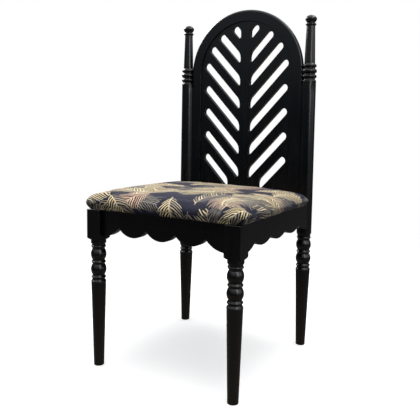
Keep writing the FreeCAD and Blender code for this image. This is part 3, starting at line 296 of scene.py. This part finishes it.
wood_a = wood("bare_wood_a", math.radians(45))
wood_b = wood("bare_wood_b", math.radians(-45))
wood_dowel = wood("dowel_wood", 0.0, (0.58, 0.42, 0.25), (0.40, 0.26, 0.14), 1.6)
ply = wood("plywood_board", 0.0, (0.55, 0.38, 0.21), (0.40, 0.25, 0.13), 0.6)


def steel():
    m, t, p = material("zinc_screw")
    co = object_coords(t)
    blotch = t.noise(co, 420.0, 3.0, 0.6)
    scratch = t.noise(co, 2600.0, 2.0, 0.5)
    col = t.mix(t.range(blotch, 0.35, 0.65, 0.0, 1.0), (0.62, 0.60, 0.55, 1), (0.44, 0.45, 0.46, 1))
    t.put(p.inputs["Base Color"], col)
    p.inputs["Metallic"].default_value = 1.0
    t.put(p.inputs["Roughness"], t.range(blotch, 0.3, 0.7, 0.28, 0.46))
    t.put(p.inputs["Normal"], t.bump(scratch, 0.2, 0.0001))
    return m


def foam_mat():
    m, t, p = material("foam_core")
    co = object_coords(t)
    v = t.new("ShaderNodeTexVoronoi")
    t.put(v.inputs["Vector"], co)
    v.inputs["Scale"].default_value = 700.0
    col = t.mix(t.range(v.outputs["Distance"], 0.1, 0.6, 0.0, 1.0), (0.62, 0.50, 0.26, 1), (0.80, 0.70, 0.44, 1))
    t.put(p.inputs["Base Color"], col)
    t.put(p.inputs["Roughness"], t.range(v.outputs["Distance"], 0.0, 0.7, 0.95, 0.82))
    t.put(p.inputs["Normal"], t.bump(v.outputs["Distance"], 0.5, 0.0006))
    return m


zinc, foam_m = steel(), foam_mat()

MATS = {
    "front_leg_left": paint_post, "front_leg_right": paint_post, "rear_post_left": paint_post, "rear_post_right": paint_post,
    "front_apron": paint_x, "rear_apron": paint_x, "side_apron_left": paint_y, "side_apron_right": paint_y,
    "back_panel": paint_z,
    "corner_brace_front_left": wood_a, "corner_brace_front_right": wood_b,
    "corner_brace_rear_left": wood_b, "corner_brace_rear_right": wood_a,
    "apron_dowels": wood_dowel, "panel_dowels": wood_dowel,
    "brace_screws": zinc, "seat_screws": zinc, "cover_staples": zinc,
    "seat_board": ply, "seat_foam": foam_m,
}
for name, mat in MATS.items():
    N[name].data.materials.clear()
    N[name].data.materials.append(mat)


# ------------------------------------------------------------------ printed seat fabric
def frond_group():
    """One layer of scattered fronds. Each square of a turned grid holds one, placed, turned, bent and
    coloured by its own random numbers, and small enough to stay inside its square."""
    g = bpy.data.node_groups.new("frond_layer", "ShaderNodeTree")
    for nm, kind in (("Vector", "NodeSocketVector"), ("Cell", "NodeSocketFloat"), ("Turn", "NodeSocketFloat"),
                     ("Seed", "NodeSocketFloat"), ("Share", "NodeSocketFloat"), ("Leaves", "NodeSocketFloat")):
        g.interface.new_socket(nm, in_out="INPUT", socket_type=kind)
    for nm in ("Mask", "Tone", "Under"):
        g.interface.new_socket(nm, in_out="OUTPUT", socket_type="NodeSocketFloat")
    t = Nodes(g)
    gi, go = t.new("NodeGroupInput"), t.new("NodeGroupOutput")
    vec, cell, turn, seed, share, leaves = gi.outputs[:6]
    r = t.new("ShaderNodeVectorRotate", rotation_type="Z_AXIS")
    t.put(r.inputs["Vector"], vec)
    t.put(r.inputs["Angle"], turn)
    off = t.comb(t.math("MULTIPLY", seed, 0.617), t.math("MULTIPLY", seed, 0.373), 0.0)
    q = t.vmath("ADD", t.vmath("DIVIDE", r.outputs[0], t.comb(cell, cell, 1.0)), off)
    qx, qy, _ = t.sep(q)
    ix, iy = t.math("FLOOR", qx), t.math("FLOOR", qy)
    wn = t.new("ShaderNodeTexWhiteNoise", noise_dimensions="3D")
    t.put(wn.inputs["Vector"], t.comb(ix, iy, seed))
    ra, rb, rc = t.sep(wn.outputs["Color"])
    lx = t.math("SUBTRACT", t.math("SUBTRACT", t.math("FRACT", qx), 0.5), t.math("MULTIPLY", t.math("SUBTRACT", ra, 0.5), 0.16))
    ly = t.math("SUBTRACT", t.math("SUBTRACT", t.math("FRACT", qy), 0.5), t.math("MULTIPLY", t.math("SUBTRACT", rb, 0.5), 0.16))
    r2 = t.new("ShaderNodeVectorRotate", rotation_type="Z_AXIS")
    t.put(r2.inputs["Vector"], t.comb(lx, ly, 0.0))
    t.put(r2.inputs["Angle"], t.math("MULTIPLY", rc, 6.2832))
    fx, fy, _ = t.sep(r2.outputs[0])
    # along the rib u runs 0 to 1; v is the distance off the bent rib, in frond lengths
    u = t.math("MULTIPLY_ADD", fx, 1.28, 0.5)
    bend = t.math("MULTIPLY", t.math("SUBTRACT", ra, 0.5), 1.3)
    um = t.math("SUBTRACT", u, 0.5)
    sag = t.math("SUBTRACT", t.math("MULTIPLY", t.math("MULTIPLY", um, um), bend), t.math("MULTIPLY", bend, 0.10))
    v = t.math("SUBTRACT", t.math("MULTIPLY", fy, 1.28), sag)
    a = t.math("ABSOLUTE", v)
    side = t.math("SIGN", v)
    # leaflets slant to the tip and droop
    s = t.math("SUBTRACT", t.math("SUBTRACT", u, t.math("MULTIPLY", a, 0.80)), t.math("MULTIPLY", t.math("MULTIPLY", a, a), 1.55))
    k = t.math("ADD", t.math("MULTIPLY", s, leaves), t.math("MULTIPLY", side, 0.27))
    wob = t.noise(t.comb(t.math("MULTIPLY", fx, 9.0), t.math("MULTIPLY", fy, 9.0), rc), 1.4, 1.0, 0.5)
    k = t.math("ADD", k, t.math("MULTIPLY", t.math("SUBTRACT", wob, 0.5), 0.8))
    i, f = t.math("FLOOR", k), t.math("FRACT", k)
    wl = t.new("ShaderNodeTexWhiteNoise", noise_dimensions="3D")
    t.put(wl.inputs["Vector"], t.comb(i, side, t.math("ADD", rc, ix)))
    la, lb, lc = t.sep(wl.outputs["Color"])
    length = t.math("MULTIPLY", t.curve(s, [(0.0, 0.12), (0.14, 0.27), (0.42, 0.335), (0.74, 0.27), (1.0, 0.05)]),
                    t.math("MULTIPLY_ADD", la, 0.42, 0.70))
    tt = t.math("DIVIDE", a, t.math("MAXIMUM", length, 0.01))
    width = t.curve(t.math("MINIMUM", tt, 1.0), [(0.0, 0.58), (0.20, 0.48), (0.60, 0.42), (0.85, 0.32), (1.0, 0.0)])
    gap = t.math("SUBTRACT", t.math("MULTIPLY", width, 0.5), t.math("ABSOLUTE", t.math("SUBTRACT", f, 0.5)))
    blade = t.step(gap, -0.035, 0.045)
    inside = t.math("MULTIPLY", t.step(s, 0.0, 0.02), t.math("SUBTRACT", 1.0, t.step(s, 0.97, 1.0)))
    inside = t.math("MULTIPLY", inside, t.math("LESS_THAN", tt, 1.0))
    blade = t.math("MULTIPLY", blade, inside)
    rib = t.math("SUBTRACT", 1.0, t.step(a, 0.006, 0.013))
    rib = t.math("MULTIPLY", rib, t.math("MULTIPLY", t.step(u, -0.06, -0.03), t.math("SUBTRACT", 1.0, t.step(u, 0.96, 1.0))))
    here = t.math("LESS_THAN", t.math("FRACT", t.math("MULTIPLY", t.math("ADD", ra, rb), 7.31)), share)
    # the ground is darkened between the leaflets of a frond
    body = t.math("MULTIPLY", inside, t.math("SUBTRACT", 1.0, t.step(tt, 0.62, 1.0)))
    blade = t.math("MAXIMUM", blade, rib)
    mask = t.math("MULTIPLY", t.math("MAXIMUM", blade, t.math("MULTIPLY", body, 0.93)), here)
    # tone 0 dark to 1 light: light back edge and tip, dark where leaflets overlap
    tone = t.math("MULTIPLY_ADD", lb, 0.40, 0.34)
    tone = t.math("ADD", tone, t.math("MULTIPLY", t.math("SUBTRACT", 0.75, f), 0.55))
    tone = t.math("ADD", tone, t.math("MULTIPLY", t.math("MINIMUM", tt, 1.0), 0.22))
    vein = t.math("SUBTRACT", 1.0, t.step(t.math("ABSOLUTE", t.math("SUBTRACT", f, 0.52)), 0.02, 0.09))
    tone = t.math("SUBTRACT", tone, t.math("MULTIPLY", vein, 0.16))
    tone = t.math("MAXIMUM", tone, t.math("MULTIPLY", rib, 0.8), clamp=True)
    tone = t.math("MULTIPLY", tone, t.step(blade, 0.15, 0.75))
    under = t.math("MULTIPLY", t.math("MULTIPLY_ADD", side, 0.5, 0.5), t.step(lc, 0.15, 0.65))
    t.put(go.inputs["Mask"], mask)
    t.put(go.inputs["Tone"], tone)
    t.put(go.inputs["Under"], under)
    return g


GOLD = [(0.0, (0.022, 0.015, 0.013)), (0.20, (0.250, 0.145, 0.060)), (0.48, (0.640, 0.480, 0.250)), (0.78, (0.900, 0.800, 0.540))]
ROSE = [(0.0, (0.022, 0.013, 0.015)), (0.25, (0.230, 0.110, 0.075)), (0.55, (0.560, 0.350, 0.240)), (0.9, (0.820, 0.660, 0.480))]
TAUPE = [(0.0, (0.012, 0.012, 0.019)), (0.30, (0.070, 0.060, 0.064)), (0.65, (0.230, 0.200, 0.175)), (1.0, (0.440, 0.400, 0.330))]

# bottom to top: square size, turn of the grid, seed, share of squares used, leaflets a side, main and shade colours
LAYERS = [
    (0.172, 0.35, 3.0, 0.75, 13.4, TAUPE, TAUPE),
    (0.180, 2.05, 5.0, 0.60, 13.4, ROSE, ROSE),
    (0.168, 0.80, 14.0, 0.70, 12.6, GOLD, ROSE),
    (0.164, 1.15, 8.0, 0.45, 12.6, TAUPE, GOLD),
    (0.176, 2.60, 21.0, 0.65, 12.6, GOLD, ROSE),
    (0.182, 1.50, 32.0, 0.65, 13.4, GOLD, TAUPE),
    (0.170, 0.10, 45.0, 0.60, 12.6, GOLD, ROSE),
]


def fabric():
    m, t, p = material("frond_print")
    at = t.new("ShaderNodeAttribute", attribute_name="flat", attribute_type="GEOMETRY")
    co = t.vmath("ADD", at.outputs["Vector"], (0.071, -0.034, 0.0))
    g = frond_group()
    slub = t.noise(co, 60.0, 3.0, 0.6)
    heather = t.noise(co, 900.0, 2.0, 0.6)
    wash = t.noise(co, 14.0, 3.0, 0.5)
    col = t.mix(t.range(wash, 0.3, 0.7, 0.0, 1.0), (0.0115, 0.0135, 0.030, 1), (0.026, 0.025, 0.042, 1))
    warp = t.vmath("ADD", co, t.vmath("SCALE", t.vmath("SUBTRACT", t.noise(co, 16.0, 2.0, 0.5, color=True), (0.5, 0.5, 0.5)), scale=0.010))
    for cell, turn, seed, share, leaves, main, shade in LAYERS:
        n = t.new("ShaderNodeGroup")
        n.node_tree = g
        t.put(n.inputs["Vector"], warp)
        for k, x in (("Cell", cell), ("Turn", turn), ("Seed", seed), ("Share", share), ("Leaves", leaves)):
            n.inputs[k].default_value = x
        c = t.ramp(n.outputs["Tone"], main)
        if shade is not main:
            c = t.mix(t.math("MULTIPLY", n.outputs["Under"], 0.85), c, t.ramp(n.outputs["Tone"], shade))
        col = t.mix(n.outputs["Mask"], col, c)
    # plain weave, one thread to 0.55 mm
    x, y, _ = t.sep(t.vmath("SCALE", co, scale=1.0 / 0.00055))
    fx, fy = t.math("FRACT", x), t.math("FRACT", y)
    par = t.math("MODULO", t.math("ADD", t.math("FLOOR", x), t.math("FLOOR", y)), 2.0)
    par = t.math("ABSOLUTE", par)
    hx = t.math("SINE", t.math("MULTIPLY", fx, math.pi))
    hy = t.math("SINE", t.math("MULTIPLY", fy, math.pi))
    up = t.math("MAXIMUM", t.math("MULTIPLY", hx, t.mixf(par, 0.45, 1.0)), t.math("MULTIPLY", hy, t.mixf(par, 1.0, 0.45)))
    # painted shade and highlight: the colour is darkened in the dips between threads and lifted a little on their
    # crowns; heather and slub then vary the tone at random
    dark = t.range(up, 0.25, 0.9, 0.72, 1.08)
    dark = t.math("MULTIPLY", dark, t.range(heather, 0.3, 0.7, 0.90, 1.10))
    dark = t.math("MULTIPLY", dark, t.range(slub, 0.3, 0.7, 0.94, 1.06))
    col = t.mix(1.0, col, t.comb(dark, dark, dark), "MULTIPLY")
    t.put(p.inputs["Base Color"], col)
    t.put(p.inputs["Roughness"], t.range(up, 0.2, 1.0, 0.92, 0.74))
    p.inputs["Specular IOR Level"].default_value = 0.12
    p.inputs["Sheen Weight"].default_value = 0.26
    p.inputs["Sheen Roughness"].default_value = 0.28
    p.inputs["Sheen Tint"].default_value = (0.92, 0.92, 1.0, 1)
    b = t.bump(up, 0.5, 0.00025)
    b = t.bump(slub, 0.15, 0.0006, b)
    t.put(p.inputs["Normal"], b)
    return m


fabric_m = fabric()


# ------------------------------------------------------------------ padded seat
RAIL = 0.4395          # top of the seat rails


def smooth(v, a, b):
    k = np.clip((v - a) / (b - a), 0.0, 1.0)
    return k * k * (3 - 2 * k)


def rect_loop(hx, y0, y1, r, per=12, side=26):
    """Closed rounded rectangle, always with the same number of points."""
    pts = []
    r = max(r, 0.0005)
    corners = [(hx - r, y0 + r, -90), (hx - r, y1 - r, 0), (-hx + r, y1 - r, 90), (-hx + r, y0 + r, 180)]
    for i, (cx, cy, a0) in enumerate(corners):
        arc = [(cx + r * math.cos(math.radians(a0 + 90 * k / per)), cy + r * math.sin(math.radians(a0 + 90 * k / per)))
               for k in range(per + 1)]
        nx, ny, a1 = corners[(i + 1) % 4]
        nxt = (nx + r * math.cos(math.radians(a1)), ny + r * math.sin(math.radians(a1)))
        pts += arc
        last = arc[-1]
        for k in range(1, side):
            f = k / side
            pts.append((last[0] + (nxt[0] - last[0]) * f, last[1] + (nxt[1] - last[1]) * f))
    return pts


def crown(x, y):
    """Height of the top, away from its rounded edge."""
    a = min(abs(x) / 0.243, 1.0)
    b = min(abs(y + 0.0236) / 0.228, 1.0)
    return RAIL + 0.0395 + 0.0105 * (1 - a ** 3.0) * (1 - b ** 3.2)


def loft(bm, hx, y0, y1, r, edge, z_low, drop=0.0):
    """A closed padded block: flat below, round sides, crowned top. edge is a list of (inset, share of the rise)."""
    rings = []
    for inset, z in edge:
        loop = rect_loop(hx - inset, y0 + inset, y1 - inset, r - inset)
        rings.append([(x, y, z) for x, y in loop])
    inner = rings[-1]
    cx, cy = 0.0, (y0 + y1) / 2
    top_z = edge[-1][1]
    for s in (0.93, 0.84, 0.72, 0.58, 0.42, 0.25, 0.10):
        ring = []
        for x, y, _ in inner:
            px, py = cx + (x - cx) * s, cy + (y - cy) * s
            w = min(1.0, (1 - s) / 0.16)
            ring.append((px, py, top_z + (crown(px, py) - drop - top_z) * (w * w * (3 - 2 * w))))
        rings.append(ring)
    base = [(x, y, z_low) for x, y, _ in rings[0]]
    for s in (0.7, 0.4, 0.12):
        rings.insert(0, [(cx + (x - cx) * s, cy + (y - cy) * s, z_low) for x, y, _ in base])
        rings[0:1] = [rings[0]]
    rings[:3] = sorted(rings[:3], key=lambda q: abs(q[0][0]))
    vs = [[bm.verts.new(p) for p in ring] for ring in rings]
    n = len(vs[0])
    for a, b in zip(vs, vs[1:]):
        for i in range(n):
            j = (i + 1) % n
            bm.faces.new((a[i], a[j], b[j], b[i]))
    bm.faces.new(list(reversed(vs[0])))
    bm.faces.new(vs[-1])


def new_object(name, bm):
    me = bpy.data.meshes.new(name)
    bm.to_mesh(me)
    bm.free()
    o = bpy.data.objects.new(name, me)
    scene.collection.objects.link(o)
    return o


def apply_modifiers(o):
    dg = bpy.context.evaluated_depsgraph_get()
    dg.update()
    me = bpy.data.meshes.new_from_object(o.evaluated_get(dg))
    o.modifiers.clear()
    old = o.data
    o.data = me
    bpy.data.meshes.remove(old)


def get_co(o):
    a = np.zeros(len(o.data.vertices) * 3)
    o.data.vertices.foreach_get("co", a)
    return a.reshape(-1, 3)


def set_co(o, a):
    o.data.vertices.foreach_set("co", np.ascontiguousarray(a, np.float32).ravel())
    o.data.update()


def make_seat():
    bm = bmesh.new()
    # profile of the side: inset from the outline, height
    side = [(0.0180, 0.0008), (0.0132, 0.0022), (0.0092, 0.0045), (0.0058, 0.0078), (0.0031, 0.0112), (0.0014, 0.0148), (0.0010, 0.0182),
            (0.0026, 0.0236), (0.0054, 0.0285), (0.0094, 0.0325), (0.0142, 0.0357), (0.0192, 0.0379), (0.0242, 0.0393)]
    loft(bm, 0.2475, -0.2552, 0.2045, 0.030, [(i, RAIL + z) for i, z in side], RAIL + 0.0008)
    tongue = [(0.0050, 0.0008), (0.0025, 0.0024), (0.0008, 0.0055), (0.0004, 0.0110), (0.0010, 0.0170), (0.0030, 0.0225),
              (0.0055, 0.0270), (0.0080, 0.0305)]
    loft(bm, 0.1850, 0.0600, 0.2196, 0.0105, [(i, RAIL + z) for i, z in tongue], RAIL + 0.0008, 0.006)
    bmesh.ops.recalc_face_normals(bm, faces=bm.faces)
    o = new_object("seat_cushion", bm)
    mod = o.modifiers.new("remesh", "REMESH")
    mod.mode, mod.voxel_size, mod.adaptivity = "VOXEL", 0.0048, 0.0
    apply_modifiers(o)
    sm = o.modifiers.new("relax", "SMOOTH")
    sm.factor, sm.iterations = 0.5, 6
    apply_modifiers(o)
    start = get_co(o)
    # held where it is fastened under the board, free everywhere else
    vg = o.vertex_groups.new(name="held")
    held = [i for i, c in enumerate(start) if c[2] < RAIL + 0.0022]
    vg.add(held, 1.0, "REPLACE")
    cl = o.modifiers.new("cloth", "CLOTH")
    s = cl.settings
    s.quality = 5
    s.mass = 0.35
    s.tension_stiffness = 18
    s.compression_stiffness = 14
    s.shear_stiffness = 8
    s.bending_stiffness = 0.9
    s.vertex_group_mass = "held"
    s.use_pressure = True
    s.uniform_pressure_force = 4.0
    s.effector_weights.gravity = 0.0
    cl.collision_settings.use_collision = False
    cl.collision_settings.use_self_collision = False
    scene.frame_start, scene.frame_end = 1, 20
    cl.point_cache.frame_start, cl.point_cache.frame_end = 1, 20
    for f in range(1, 21):
        scene.frame_set(f)
    dg = bpy.context.evaluated_depsgraph_get()
    ev = o.evaluated_get(dg)
    a = np.zeros(len(ev.data.vertices) * 3)
    ev.data.vertices.foreach_get("co", a)
    moved = a.reshape(-1, 3) - start
    o.modifiers.clear()
    scene.frame_set(1)
    far = np.linalg.norm(moved, axis=1)
    cap = 0.0055
    k = np.where(far > 1e-9, cap * np.tanh(far / cap) / np.maximum(far, 1e-9), 1.0)
    print("seat cloth: moved mean %.2f mm, most %.2f mm" % (far.mean() * 1000, far.max() * 1000))
    set_co(o, start + moved * k[:, None])
    o.vertex_groups.clear()
    return o


def settle(o):
    """The stuffing lies a little higher on the left and is drawn thinner at the left front and right rear corners."""
    c = get_co(o)
    x, y, z = c[:, 0], c[:, 1], c[:, 2]
    w = smooth(z, RAIL + 0.008, RAIL + 0.036)
    lift = 0.003 * smooth(-x, 0.02, 0.20) - 0.001 * smooth(x, 0.0, 0.1) - 0.0045 * smooth(x, 0.08, 0.24) * smooth(y, -0.05, 0.15)
    lift -= 0.0055 * smooth(-x, 0.165, 0.232) * smooth(-y, 0.135, 0.215) + 0.003 * smooth(x, 0.19, 0.24) * smooth(y, 0.08, 0.18)
    set_co(o, np.stack([x, y, z + w * lift], 1))


def fit_seat(o):
    """Keeps the pad clear of the posts, the panel and the rails, and presses its underside flat."""
    c = get_co(o)
    x, y, z = c[:, 0], c[:, 1], c[:, 2]
    # clear of the back panel and the two posts
    y = np.minimum(y, 0.2200)
    for sx in (-1, 1):
        dx, dy = x - sx * 0.212, y - 0.2292
        d = np.hypot(dx, dy)
        near = d < 0.0238
        s = np.where(near, 0.0238 / np.maximum(d, 1e-6), 1.0)
        x = np.where(near, sx * 0.212 + dx * s, x)
        y = np.where(near, 0.2292 + dy * s, y)
    z = np.maximum(z, RAIL + 0.0003)
    set_co(o, np.stack([x, y, z], 1))


def flat_coords(o):
    """Where each point lies on the cloth before it was pulled over the pad, in metres."""
    c = get_co(o)
    nrm = np.zeros(len(c) * 3)
    o.data.vertices.foreach_get("normal", nrm)
    nz = nrm.reshape(-1, 3)[:, 2]
    core = np.stack([np.clip(c[:, 0], -0.170, 0.170), np.clip(c[:, 1], -0.180, 0.140)], 1)
    d = c[:, :2] - core
    dist = np.linalg.norm(d, axis=1)
    n = d / np.maximum(dist, 1e-9)[:, None]
    drop = np.maximum(RAIL + 0.043 - c[:, 2], 0.0)
    # how far a point lies inside the pad's outline, so that the cloth runs on under the edge
    e = np.abs(c[:, :2] - np.array([0.0, -0.0254])) - np.array([0.2165, 0.1998])
    inset = 0.030 - np.linalg.norm(np.maximum(e, 0.0), axis=1) - np.minimum(e.max(axis=1), 0.0)
    s = dist + 0.72 * drop + np.where(c[:, 2] < RAIL + 0.0165, 2.0 * np.maximum(inset - 0.001, 0.0), 0.0)
    s = np.where(dist < 1e-6, 0.0, s)
    f = core + n * s[:, None]
    below = (nz < -0.35) & (dist < 1e-6)
    f[below] = c[below][:, :2] * 1.3
    at = o.data.attributes.get("flat") or o.data.attributes.new("flat", "FLOAT_VECTOR", "POINT")
    v = np.concatenate([f, np.zeros((len(f), 1))], 1)
    at.data.foreach_set("vector", v.astype(np.float32).ravel())


seat = make_seat()
settle(seat)
fit_seat(seat)
sub = seat.modifiers.new("sub", "SUBSURF")
sub.levels = sub.render_levels = 1
apply_modifiers(seat)
fit_seat(seat)
for poly in seat.data.polygons:
    poly.use_smooth = True
flat_coords(seat)
seat.data.materials.clear()
seat.data.materials.append(fabric_m)
seat.visible_glossy = False          # the pale print does not show in the paint behind it
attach(seat, "root")
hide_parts("seat_cover", "seat_foam")


# ------------------------------------------------------------------ dust cloth under the seat
def dust_mat():
    m, t, p = material("dust_cloth")
    co = object_coords(t)
    fib = t.noise(co, 900.0, 4.0, 0.7)
    x, y, _ = t.sep(t.vmath("SCALE", co, scale=1.0 / 0.0022))
    dots = t.math("MULTIPLY", t.math("SINE", t.math("MULTIPLY", x, 2 * math.pi)), t.math("SINE", t.math("MULTIPLY", y, 2 * math.pi)))
    col = t.mix(t.range(fib, 0.3, 0.7, 0.0, 1.0), (0.010, 0.010, 0.011, 1), (0.030, 0.030, 0.031, 1))
    t.put(p.inputs["Base Color"], col)
    t.put(p.inputs["Roughness"], t.range(fib, 0.3, 0.7, 0.80, 0.95))
    b = t.bump(dots, 0.35, 0.0002)
    t.put(p.inputs["Normal"], t.bump(fib, 0.3, 0.0002, b))
    return m


def make_dust():
    bm = bmesh.new()
    n = 84
    hx, y0, y1 = 0.205, -0.205, 0.215
    grid = []
    for j in range(n + 1):
        row = []
        for i in range(n + 1):
            x = -hx + 2 * hx * i / n
            y = y0 + (y1 - y0) * j / n
            u, v = (x / hx), (2 * (y - y0) / (y1 - y0) - 1)
            sag = 0.0028 * (1 - u ** 4) * (1 - v ** 4)
            # slack between the staples along each side, drawn up at each one
            ripple = 0.00035 * math.cos(x * 2 * math.pi / 0.04425) * abs(v) ** 12 + 0.00035 * math.cos((y - 0.005) * 2 * math.pi / 0.0455) * abs(u) ** 12
            row.append(bm.verts.new((x, y, RAIL - 0.0002 - sag + ripple * 0.5)))
        grid.append(row)
    for j in range(n):
        for i in range(n):
            bm.faces.new((grid[j][i], grid[j][i + 1], grid[j + 1][i + 1], grid[j + 1][i]))
    o = new_object("dust_sheet", bm)
    so = o.modifiers.new("thick", "SOLIDIFY")
    so.thickness, so.offset = 0.0004, -1.0
    apply_modifiers(o)
    for poly in o.data.polygons:
        poly.use_smooth = True
    o.data.materials.append(dust_mat())
    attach(o, "root")
    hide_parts("dust_cover")
    return o


make_dust()


# ------------------------------------------------------------------ floor, light, backdrop
def make_stage():
    bm = bmesh.new()
    n, h = 24, 9.0
    v = [[bm.verts.new((-h + 2 * h * i / n, -h + 2 * h * j / n, 0.0)) for i in range(n + 1)] for j in range(n + 1)]
    for j in range(n):
        for i in range(n):
            bm.faces.new((v[j][i], v[j][i + 1], v[j + 1][i + 1], v[j + 1][i]))
    floor = new_object("floor", bm)
    m, t, p = material("pale_floor")
    co = object_coords(t)
    c = t.mix(t.noise(co, 1.5, 3.0, 0.5), (0.80, 0.80, 0.795, 1), (0.83, 0.83, 0.825, 1))
    t.put(p.inputs["Base Color"], c)
    t.put(p.inputs["Roughness"], t.range(t.noise(co, 30.0, 3.0), 0.3, 0.7, 0.75, 0.9))
    p.inputs["Specular IOR Level"].default_value = 0.1
    p.inputs["Emission Color"].default_value = (1, 1, 1, 1)
    p.inputs["Emission Strength"].default_value = 0.48
    # the floor runs out into an even white far from the chair
    far = t.new("ShaderNodeEmission")
    far.inputs[0].default_value = (1, 1, 1, 1)
    far.inputs[1].default_value = 1.0
    ms = t.new("ShaderNodeMixShader")
    t.put(ms.inputs[0], t.step(t.vmath("LENGTH", co), 0.7, 2.2))
    t.put(ms.inputs[1], p.outputs[0])
    t.put(ms.inputs[2], far.outputs[0])
    out = [x for x in m.node_tree.nodes if x.type == "OUTPUT_MATERIAL"][0]
    t.put(out.inputs[0], ms.outputs[0])
    floor.data.materials.append(m)
    floor.visible_glossy = False
    floor.visible_diffuse = False

    w = bpy.data.worlds.new("studio")
    scene.world = w
    w.use_nodes = True
    w.node_tree.nodes.clear()
    t = Nodes(w.node_tree)
    out = t.new("ShaderNodeOutputWorld")
    lp = t.new("ShaderNodeLightPath")
    tc = t.new("ShaderNodeTexCoord")
    x, y, z = t.sep(tc.outputs["Generated"])
    # what the paint mirrors: warm ground below, a dark band round the horizon that lifts in front of the chair and
    # on its right, and soft light above
    h = t.range(z, -1.0, 1.0, 0.0, 1.0)
    behind = t.ramp(h, [(0.0, (0.130, 0.112, 0.096)), (0.29, (0.230, 0.200, 0.172)), (0.345, (0.130, 0.118, 0.106)),
                        (0.40, (0.080, 0.078, 0.078)), (0.50, (0.050, 0.054, 0.062)), (0.60, (0.080, 0.086, 0.096)),
                        (0.69, (0.170, 0.178, 0.190)), (0.76, (0.360, 0.370, 0.390)), (0.84, (1.00, 1.02, 1.05)), (1.0, (1.70, 1.73, 1.78))])
    front = t.ramp(h, [(0.0, (0.130, 0.112, 0.096)), (0.29, (0.230, 0.200, 0.172)), (0.345, (0.130, 0.118, 0.106)),
                       (0.385, (0.062, 0.062, 0.066)), (0.425, (0.026, 0.032, 0.042)), (0.48, (0.016, 0.020, 0.026)),
                       (0.505, (0.036, 0.042, 0.050)), (0.548, (0.140, 0.152, 0.172)), (0.595, (0.340, 0.365, 0.420)), (0.84, (1.00, 1.02, 1.05)), (1.0, (1.70, 1.73, 1.78))])
    right = t.ramp(h, [(0.0, (0.130, 0.112, 0.096)), (0.29, (0.230, 0.200, 0.172)), (0.345, (0.150, 0.136, 0.122)),
                       (0.44, (0.100, 0.100, 0.102)), (0.485, (0.250, 0.255, 0.265)), (0.535, (0.60, 0.61, 0.64)),
                       (0.585, (1.30, 1.32, 1.36)), (0.70, (1.60, 1.62, 1.66)), (0.84, (1.00, 1.02, 1.05)), (1.0, (1.70, 1.73, 1.78))])
    ahead = t.math("MULTIPLY", t.math("SUBTRACT", 1.0, t.step(y, -0.55, 0.05)), t.step(x, -0.72, -0.46))
    gloss = t.mix(ahead, behind, front)
    gloss = t.mix(t.step(x, 0.70, 0.90), gloss, right)
    fill = t.ramp(t.range(z, -1.0, 1.0, 0.0, 1.0),
                  [(0.0, (0.06, 0.055, 0.05)), (0.42, (0.08, 0.075, 0.07)), (0.52, (0.12, 0.125, 0.135)), (0.75, (0.50, 0.51, 0.53)), (1.0, (0.90, 0.91, 0.93))])
    bg_cam = t.new("ShaderNodeBackground")
    bg_cam.inputs[0].default_value = (1, 1, 1, 1)
    bg_cam.inputs[1].default_value = 1.0
    bg_gloss = t.new("ShaderNodeBackground")
    t.put(bg_gloss.inputs[0], gloss)
    bg_gloss.inputs[1].default_value = 1.0
    bg_fill = t.new("ShaderNodeBackground")
    t.put(bg_fill.inputs[0], fill)
    bg_fill.inputs[1].default_value = 1.0
    m1, m2 = t.new("ShaderNodeMixShader"), t.new("ShaderNodeMixShader")
    t.put(m1.inputs[0], lp.outputs["Is Glossy Ray"])
    t.put(m1.inputs[1], bg_fill.outputs[0])
    t.put(m1.inputs[2], bg_gloss.outputs[0])
    t.put(m2.inputs[0], lp.outputs["Is Camera Ray"])
    t.put(m2.inputs[1], m1.outputs[0])
    t.put(m2.inputs[2], bg_cam.outputs[0])
    t.put(out.inputs[0], m2.outputs[0])

    def area(name, at, aim, w, h, power, color=(1, 1, 1), diffuse=True, glossy=True):
        li = bpy.data.lights.new(name, "AREA")
        li.shape, li.size, li.size_y = "RECTANGLE", w, h
        li.energy, li.color = power, color
        o = bpy.data.objects.new(name, li)
        scene.collection.objects.link(o)
        o.location = at
        o.rotation_mode = "QUATERNION"
        o.rotation_quaternion = (Vector(aim) - Vector(at)).to_track_quat("-Z", "Y")
        o.visible_diffuse, o.visible_glossy = diffuse, glossy
        return o

    area("key_gloss", (1.95, -1.25, 1.85), (0, 0, 1.0), 0.6, 2.2, 18, (1.0, 0.99, 0.97), diffuse=False)
    area("left_gloss", (-2.2, 0.6, 2.1), (0, 0, 0.7), 2.6, 0.9, 85, (0.98, 0.99, 1.0), diffuse=False)
    area("over_gloss", (0.75, 1.05, 2.9), (0, 0, 0.7), 0.8, 0.8, 14, (1.0, 0.99, 0.98), diffuse=False)
    area("key_soft", (1.35, -1.25, 2.6), (0, 0, 0.5), 1.0, 1.0, 8, (1.0, 0.985, 0.96), glossy=False)
    area("top", (0.1, -0.1, 2.9), (0, 0, 0.4), 1.7, 1.7, 66, glossy=False)


make_stage()
